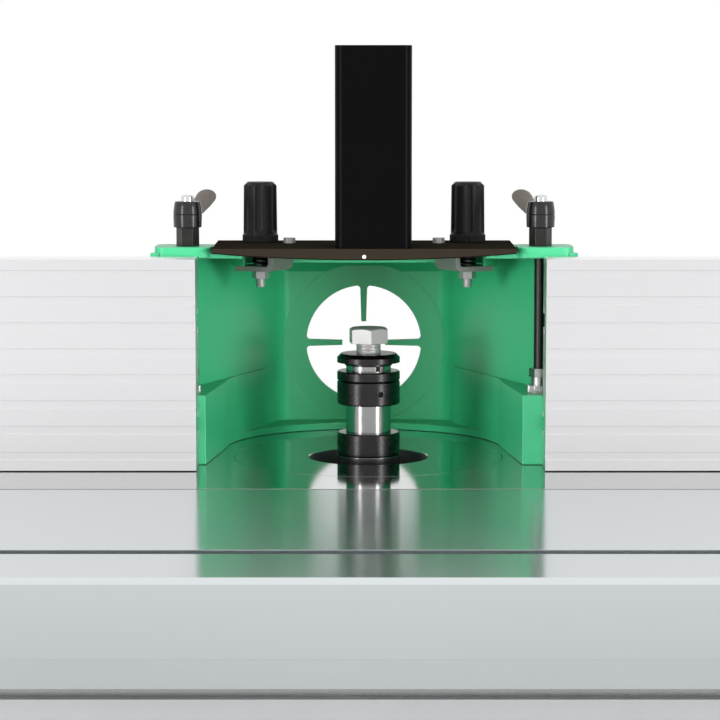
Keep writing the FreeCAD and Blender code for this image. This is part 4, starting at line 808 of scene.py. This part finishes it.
@dataclass
class Hood(Assembly):
    """Two-part hood with its dust spigot, hold-down bolts and the ferrules of the clamp rods."""

    knurl_radius: float = 7.8
    knurl_low: float = 46.2
    knurl_count: int = 44
    knurl_rib: Point = (0.9, 0.3, 4.8)

    COATS = {
        "green_enamel": ("hood_base", "hood_shell", "dust_spigot"),
        "zinc_plate": ("hold_down_bolts", "tee_bolts"),
        "bright_steel": ("rod_ferrules",),
        "dark_hexagon": ("clamp_rods",),
    }

    def build(self) -> None:
        """Makes the knurl on the two ferrules."""
        for side, hand in HANDS:
            foot = place(HOOD_X + hand * CLAMP_X, CLAMP_Y, self.knurl_low)
            knurl = self.shop.rib_ring(f"{side}_ferrule_knurl", "bright_steel", foot, self.knurl_radius,
                                       self.knurl_count, self.knurl_rib)
            self.shop.seat(knurl, "hood", "aluminium")


@dataclass
class Guard(Assembly):
    """Guard plate with its post, clips, springs and fluted knobs."""

    knob_x: float = 70.0
    knob_y: float = 24.0
    knob_low: float = 143.2
    ring_radius: float = 11.7
    rib_count: int = 44
    rib: Point = (1.1, 0.4, 4.6)
    spring_radius: float = 5.0
    spring_wire: float = 0.8
    spring_turns: float = 4.0
    spring_low: float = 128.3
    spring_high: float = 138.9
    guard_top: float = 142.8
    apron_bend: float = -48.0
    apron_tilt: float = 70.0
    dot_reach: float = 5.35
    dot_sides: int = 24

    DOT = ((0.0, -0.3), (1.3, -0.3), (1.3, 0.05), (1.105, 0.14), (0.0, 0.2))
    COATS = {
        "black_coat": ("guard_plate",),
        "black_post": ("guard_post",),
        "folded_steel": ("guard_clips",),
        "zinc_plate": ("clip_fasteners",),
        "knob_moulding": ("left_knob", "right_knob"),
    }

    def build(self) -> None:
        """Makes the knobs' serrations, the springs and the apron's centre dot."""
        springs = []
        for side, hand in HANDS:
            x = HOOD_X + hand * self.knob_x
            foot = place(x, self.knob_y, self.knob_low)
            ribs = self.shop.rib_ring(f"{side}_knob_ribs", "knob_moulding", foot, self.ring_radius,
                                      self.rib_count, self.rib)
            self.shop.seat(ribs, f"knob_{side}", "black_plastic")
            foot = place(x, self.knob_y, self.spring_low)
            springs.append(self.shop.coil(
                f"{side}_clip_spring", "spring_wire", foot, self.spring_turns, self.spring_radius,
                self.spring_wire, self.spring_high - self.spring_low))
        for spring in springs:
            self.shop.seat(spring, "guard", "spring_steel", "clip_springs")
        self._dot()

    def _dot(self) -> None:
        """Makes the small white dot at the middle of the apron."""
        tilt = math.radians(self.apron_tilt)
        centre = Vector((HOOD_X, self.apron_bend - self.dot_reach * math.cos(tilt),
                         self.guard_top - self.dot_reach * math.sin(tilt)))
        matrix = Matrix.Translation(centre) @ Matrix.Rotation(tilt, 4, "X")
        shape = Shape().lathe(self.DOT, self.dot_sides)
        dot = shape.piece("apron_dot", self.shop.paint["white_dot"], matrix)
        self.shop.seat(dot, "guard", "black_coat")


@dataclass
class ClampLever(Assembly):
    """One clamp lever: moulded hub, rising arm and the bright screw in its top."""

    side: str
    hand: float
    z: float = 155.5
    arm_length: float = 64.0
    arm_turn: float = 9.0
    arm_rise: float = 10.6
    arm_root: float = 8.6
    half_width: float = 7.0
    half_height: float = 5.6
    first_share: float = 0.06
    tip_share: float = 0.88
    tip_rise: float = 0.6
    tip_least: float = 0.0004
    ring_count: int = 27
    ring_sides: int = 28
    hub_sides: int = 64
    screw_sides: int = 40

    HUB = ((0.0, 11.3), (4.0, 11.3), (4.0, 0.0), (8.95, 0.0), (9.22, 0.3), (9.35, 4.0), (9.5, 7.9),
           (9.4, 8.3), (9.1, 8.45), (9.1, 8.75), (9.45, 8.95), (9.4, 9.8), (9.05, 13.0), (8.55, 16.1),
           (8.3, 16.75), (7.8, 17.0), (0.0, 17.0))
    BUTTON = ((0.0, 16.6), (4.2, 16.6), (4.2, 19.7), (3.9, 20.5), (3.2, 21.0), (2.4, 21.2), (2.0, 21.1),
              (1.9, 19.4), (0.0, 19.4))
    PLACES = (0.0, 0.2, 0.4, 0.58, 0.75, 0.94)
    RISES = (0.0, 0.04, 0.15, 0.37, 0.61, 0.9)
    WIDTHS = (0.82, 0.77, 0.75, 0.83, 0.93, 1.0)
    HEIGHTS = (1.0, 0.87, 0.79, 0.83, 0.875, 0.875)

    def build(self) -> None:
        """Makes the lever's three pieces in the solid's place."""
        body = f"lever_{self.side}"
        solid = f"{self.side}_lever"
        paint = self.shop.paint
        seat = Matrix.Translation((HOOD_X + self.hand * CLAMP_X, CLAMP_Y, self.z))
        hub = Shape().lathe(self.HUB, self.hub_sides).piece(f"{solid}_hub", paint["hub_moulding"], seat)
        self.shop.seat(hub, body, "black_plastic", solid)
        turn = Matrix.Rotation(math.radians(self.arm_turn) * self.hand, 4, "Z")
        # The arm gets the lighter finish: painted sheen on the same black plastic as the hub.
        arm = Shape().rings(self._arm_rings()).piece(f"{solid}_arm", paint["arm_painted_sheen"], seat @ turn)
        self.shop.seat(arm, body, "black_plastic", solid)
        button = Shape().lathe(self.BUTTON, self.screw_sides).piece(f"{solid}_screw", paint["chrome"], seat)
        self.shop.seat(button, body, "zinc_steel")

    def _arm_rings(self) -> list[list[Point]]:
        """Works out the oval rings along the arm, from inside the hub to the rounded tip.

        Returns:
            Rings of points in order.
        """
        rows = []
        turns = [2 * math.pi * k / self.ring_sides for k in range(self.ring_sides)]
        for i in range(self.ring_count):
            share = self.first_share + (1 - self.first_share) * (i / (self.ring_count - 1))
            inside = min(share, self.PLACES[-1])
            width = self.half_width * self._smooth(self.WIDTHS, inside)
            height = self.half_height * self._smooth(self.HEIGHTS, inside)
            rise = self.arm_rise * self._smooth(self.RISES, inside)
            if share > self.tip_share:
                gone = (share - self.tip_share) / (1 - self.tip_share)
                end = math.sqrt(max(1 - gone ** 2, self.tip_least))
                width *= end
                height *= end
                rise += self.arm_rise * self.tip_rise * (share - inside)
            rows.append([(width * math.cos(t), self.arm_length * share,
                          self.arm_root + rise + height * math.sin(t)) for t in turns])
        return rows

    def _smooth(self, values: Sequence[float], share: float) -> float:
        """Reads a table of the arm smoothly at one place along it.

        Args:
            values: Values at the arm's known places.
            share: Place along the arm, up to the last known one.

        Returns:
            The value there.
        """
        spots = self.PLACES
        k = max(i for i in range(len(spots) - 1) if spots[i] <= share)
        before, after = max(k - 1, 0), min(k + 2, len(spots) - 1)
        span = spots[k + 1] - spots[k]
        t = (share - spots[k]) / span
        slope_a = (values[k + 1] - values[before]) / (spots[k + 1] - spots[before]) * span
        slope_b = (values[after] - values[k]) / (spots[after] - spots[k]) * span
        low = (2 * t ** 3 - 3 * t ** 2 + 1) * values[k] + (t ** 3 - 2 * t ** 2 + t) * slope_a
        return low + (3 * t ** 2 - 2 * t ** 3) * values[k + 1] + (t ** 3 - t ** 2) * slope_b


@dataclass
class Tables(Assembly):
    """Fence plates, ground table with its ring, sliding table and its rail."""

    COATS = {
        "fence_aluminium": ("left_fence", "right_fence"),
        "ground_iron": ("work_table", "table_ring"),
        "slide_aluminium": ("sliding_table",),
        "beam_aluminium": ("rail_beam",),
        "bright_steel": ("guide_rods",),
        "dark_paint": ("rail_brackets",),
    }


@dataclass
class Cabinet(Assembly):
    """Cabinet with its base, door, hinges, latch, feet and gland.

    A column of panel screws is given by the height of its top screw, the pitch and the count.
    """

    half_width: float = 310.0
    front: float = -130.0
    back: float = 245.0
    column_x: float = 237.0
    side_columns: Pair = (-57.0, 172.0)
    short_column: Column = (-380.0, 150.0, 4)
    tall_column: Column = (-85.0, 149.0, 6)
    panel_head: Pair = (5.0, 2.8)
    hinge_feet: Pair = (-736.0, -162.0)
    hinge_y: float = 184.0
    leaf_offset: float = 17.0
    leaf_wall: float = 2.0
    leaf_pitch: float = 16.0
    leaf_head: Pair = (3.2, 1.3)
    door_leaf_rise: float = 8.0
    post_leaf_rise: float = -24.0
    louvre_count: int = 7
    louvre_pitch: float = 22.0
    louvre_first: float = -746.0
    louvre_height: float = 7.0
    louvre_half_length: float = 60.0
    louvre_y: float = 57.5
    louvre_depth: float = 6.5
    lip_overlap: float = 3.0
    lip_margin: float = 2.5
    lip_bluntness: int = 5
    lip_edge: float = 0.15
    lip_gap: float = 1.0
    lip_fall: float = 2.0
    lip_wall: float = 1.0
    lip_sunk: float = 0.4
    lip_under: float = 0.9
    lip_steps: int = 24
    arc_steps: int = 6

    COATS = {
        "green_enamel": ("corner_posts", "front_panel", "rear_panel", "left_panel", "cabinet_door"),
        "dark_paint": ("base_plate",),
        "rubber": ("levelling_feet",),
        "bright_steel": ("door_hinges",),
        "wheel_moulding": ("door_latch", "cable_gland"),
    }

    def build(self) -> None:
        """Makes the screws of the panels and hinges and the louvres' lips."""
        for label, hand in HANDS:
            x = hand * self.column_x
            self._column(f"front_screws_{label}", x, self.front, self.short_column, Facing.FRONT)
            self._column(f"rear_screws_{label}", x, self.back, self.tall_column, Facing.BACK)
        for label, y in zip(("front", "rear"), self.side_columns):
            self._column(f"side_screws_{label}", -self.half_width, y, self.tall_column, Facing.LEFT)
        self._hinge_screws()
        self._louvres()

    def _column(self, name: str, x: float, y: float, column: Column, facing: Facing) -> None:
        """Sets one upright column of panel screws."""
        top, pitch, count = column
        self.shop.screws(name, "machine_base", (x, y, top), (0.0, 0.0, -pitch), count, facing,
                         self.panel_head)

    def _hinge_screws(self) -> None:
        """Sets two screws in each hinge leaf."""
        leaves = (("door", "side_door", -self.leaf_offset, self.door_leaf_rise),
                  ("post", "machine_base", self.leaf_offset, self.post_leaf_rise))
        for number, foot in enumerate(self.hinge_feet):
            for leaf, body, over, rise in leaves:
                first = (self.half_width + self.leaf_wall, self.hinge_y + over, foot + rise)
                self.shop.screws(f"{leaf}_leaf_screws_{number}", body, first, (0.0, 0.0, self.leaf_pitch), 2,
                                 Facing.RIGHT, self.leaf_head)

    def _louvres(self) -> None:
        """Makes the pressed lips over the door's louvres."""
        values = {"Count": self.louvre_count, "Step": Vector((0.0, 0.0, self.louvre_pitch)) * MM,
                  "Start": place(self.half_width, self.louvre_y, self.louvre_first), "Turn": Vector(),
                  "Material": self.shop.paint["green_enamel"]}
        lips = self.shop.rows.make("door_louvre_lips", self._lip(), values)
        self.shop.seat(lips, "side_door", "green_enamel")

    def _lip(self) -> Piece:
        """Draws one lip: a hood over its slot, open below, thinning out at both ends.

        Returns:
            The template, with its slot's lower edge at the origin.
        """
        half = self.louvre_half_length + self.lip_overlap
        top = self.louvre_height + self.lip_margin
        arc = [math.pi / 2 * k / self.arc_steps for k in range(self.arc_steps + 1)]
        rows = []
        for i in range(self.lip_steps + 1):
            share = -1 + 2 * i / self.lip_steps
            full = 1 - abs(share) ** self.lip_bluntness
            bulge = self.louvre_depth * full + self.lip_edge
            drop = (self.louvre_height - self.lip_gap) * full + self.lip_fall
            outer = [(bulge * math.sin(a), half * share, top - drop * (1 - math.cos(a))) for a in arc]
            inner = [(max(x - self.lip_wall, -self.lip_sunk), y, z - self.lip_under)
                     for x, y, z in reversed(outer)]
            rows.append(outer + inner)
        return Shape().rings(rows).piece("lip", self.shop.paint["green_enamel"])


@dataclass
class Drive(Assembly):
    """Motor, belt drive, rise-and-fall gear and handwheel."""

    COATS = {
        "grey_paint": ("motor_body", "spindle_housing", "lift_bridge"),
        "dark_paint": ("motor_plate",),
        "turned_aluminium": ("spindle_pulley", "motor_pulley"),
        "bright_steel": ("spindle_bearings", "bearing_cap", "guide_posts", "lift_screw", "screw_gear",
                         "handwheel_shaft", "motor_shaft"),
        "bronze": ("lift_nut", "wheel_bush"),
        "rubber": ("drive_belt",),
        "wheel_moulding": ("handwheel", "crank_grip"),
    }


@dataclass
class Controls(Assembly):
    """Switch box with its two buttons."""

    x: float = 165.0
    face: float = -188.0
    top: float = -144.0
    height: float = 138.0
    inset: float = 8.0
    half_width: float = 46.0
    cover_head: Pair = (3.4, 1.8)

    COATS = {
        "grey_moulding": ("control_box",),
        "start_green": ("start_button",),
        "stop_red": ("stop_button",),
    }

    def build(self) -> None:
        """Sets the four cover screws."""
        reach = self.half_width - self.inset
        for label, drop in (("upper", 0.0), ("lower", self.height - 2 * self.inset)):
            first = (self.x - reach, self.face, self.top - self.inset - drop)
            self.shop.screws(f"box_screws_{label}", "machine_base", first, (2 * reach, 0.0, 0.0), 2,
                             Facing.FRONT, self.cover_head)


@dataclass(frozen=True)
class Lamp:
    """One soft lamp; a mirrored one shows in polished metal, and a spread under 180 keeps it to the hood."""

    name: str
    spot: Point
    width: float
    height: float
    power: float
    spread: float = 180.0
    mirrored: bool = False

    def hang(self, aim: Point) -> None:
        """Hangs the lamp in the scene.

        Args:
            aim: Point that it looks at.
        """
        data = bpy.data.lights.new(self.name, "AREA")
        data.shape = "RECTANGLE"
        data.size = self.width
        data.size_y = self.height
        data.energy = self.power
        data.spread = math.radians(self.spread)
        lamp = linked(self.name, data)
        lamp.location = self.spot
        lamp.visible_glossy = self.mirrored
        lamp.rotation_euler = (Vector(aim) - Vector(self.spot)).to_track_quat("-Z", "Y").to_euler()


@dataclass
class Studio:
    """Floor, white surroundings, soft lamps and the camera, in metres in the shared frame."""

    camera_place: Point = (-0.0057, -1.6245, 1.14)
    camera_pitch: float = 6.205
    lens: float = 127.6
    sensor: float = 36.0
    nearest: float = 0.01
    ambient: float = 0.6
    floor_size: float = 9.0
    floor_colour: Point = (0.85, 0.85, 0.85)
    floor_roughness: float = 0.9
    floor_specular: float = 0.1
    aim: Point = (0.0, 0.05, 0.95)
    lamps: tuple[Lamp, ...] = (
        Lamp("softbox_left", (-1.35, -1.3, 1.15), 0.25, 0.9, 8.0, mirrored=True),
        Lamp("softbox_right", (1.4, -1.2, 1.15), 0.25, 0.9, 8.0, mirrored=True),
        Lamp("top", (0.0, -0.2, 3.0), 1.8, 1.8, 6.0),
        Lamp("left_fill", (-1.1, -1.5, 1.1), 0.5, 0.5, 1.7, spread=50.0),
        Lamp("right_fill", (1.1, -1.5, 1.1), 0.5, 0.5, 1.7, spread=50.0),
        Lamp("front_fill", (0.15, -2.0, 1.3), 0.8, 0.6, 0.6, spread=50.0),
    )

    def build(self) -> None:
        """Makes the surroundings, the lamps and the camera."""
        scene = bpy.context.scene
        scene.view_settings.view_transform = "Standard"
        scene.world = self._world()
        self._floor()
        for lamp in self.lamps:
            lamp.hang(self.aim)
        data = bpy.data.cameras.new("camera")
        data.lens = self.lens
        data.sensor_width = self.sensor
        data.clip_start = self.nearest
        camera = linked("camera", data)
        camera.location = self.camera_place
        camera.rotation_euler = Euler((math.radians(90 - self.camera_pitch), 0.0, 0.0))
        scene.camera = camera

    def _world(self) -> bpy.types.World:
        """Makes surroundings that are white to the eye and in mirrors, and softer as light.

        Returns:
            The world.
        """
        world = bpy.data.worlds.new("surroundings")
        world.use_nodes = True
        world.node_tree.nodes.clear()
        wiring = Wiring(world.node_tree)
        path = wiring.add("ShaderNodeLightPath")
        seen = wiring.math("MAXIMUM", path.outputs["Is Camera Ray"], path.outputs["Is Glossy Ray"])
        seen = wiring.math("MAXIMUM", seen, path.outputs["Is Transmission Ray"])
        strength = wiring.math("MULTIPLY_ADD", seen, 1.0 - self.ambient, self.ambient)
        light = wiring.add("ShaderNodeBackground", {"Color": (1.0, 1.0, 1.0, 1.0), "Strength": strength})
        wiring.add("ShaderNodeOutputWorld", {"Surface": light})
        return world

    def _floor(self) -> Piece:
        """Makes the pale floor.

        Returns:
            The floor.
        """
        material = bpy.data.materials.new("pale_floor")
        material.use_nodes = True
        shader = material.node_tree.nodes["Principled BSDF"]
        shader.inputs["Base Color"].default_value = (*self.floor_colour, 1.0)
        shader.inputs["Roughness"].default_value = self.floor_roughness
        shader.inputs["Specular IOR Level"].default_value = self.floor_specular
        half = self.floor_size / 2
        data = bpy.data.meshes.new("floor")
        corners = [(-half, -half, 0.0), (half, -half, 0.0), (half, half, 0.0), (-half, half, 0.0)]
        data.from_pydata(corners, [], [(0, 1, 2, 3)])
        data.materials.append(material)
        return linked("floor", data)


def main() -> None:
    """Builds every sub-assembly in order."""
    logging.basicConfig(level=logging.INFO, format="%(name)s: %(message)s")
    shop = Workshop(Paintbox(), RibRing(), FastenerRow(), WireCoil())
    levers = [ClampLever(shop, side, hand) for side, hand in HANDS]
    for assembly in (SpindleStack(shop), Hood(shop), Guard(shop), Cabinet(shop), Controls(shop), Tables(shop),
                     Drive(shop), *levers):
        assembly.dress()
        assembly.build()
    Studio().build()


if __name__ == "__main__":
    main()
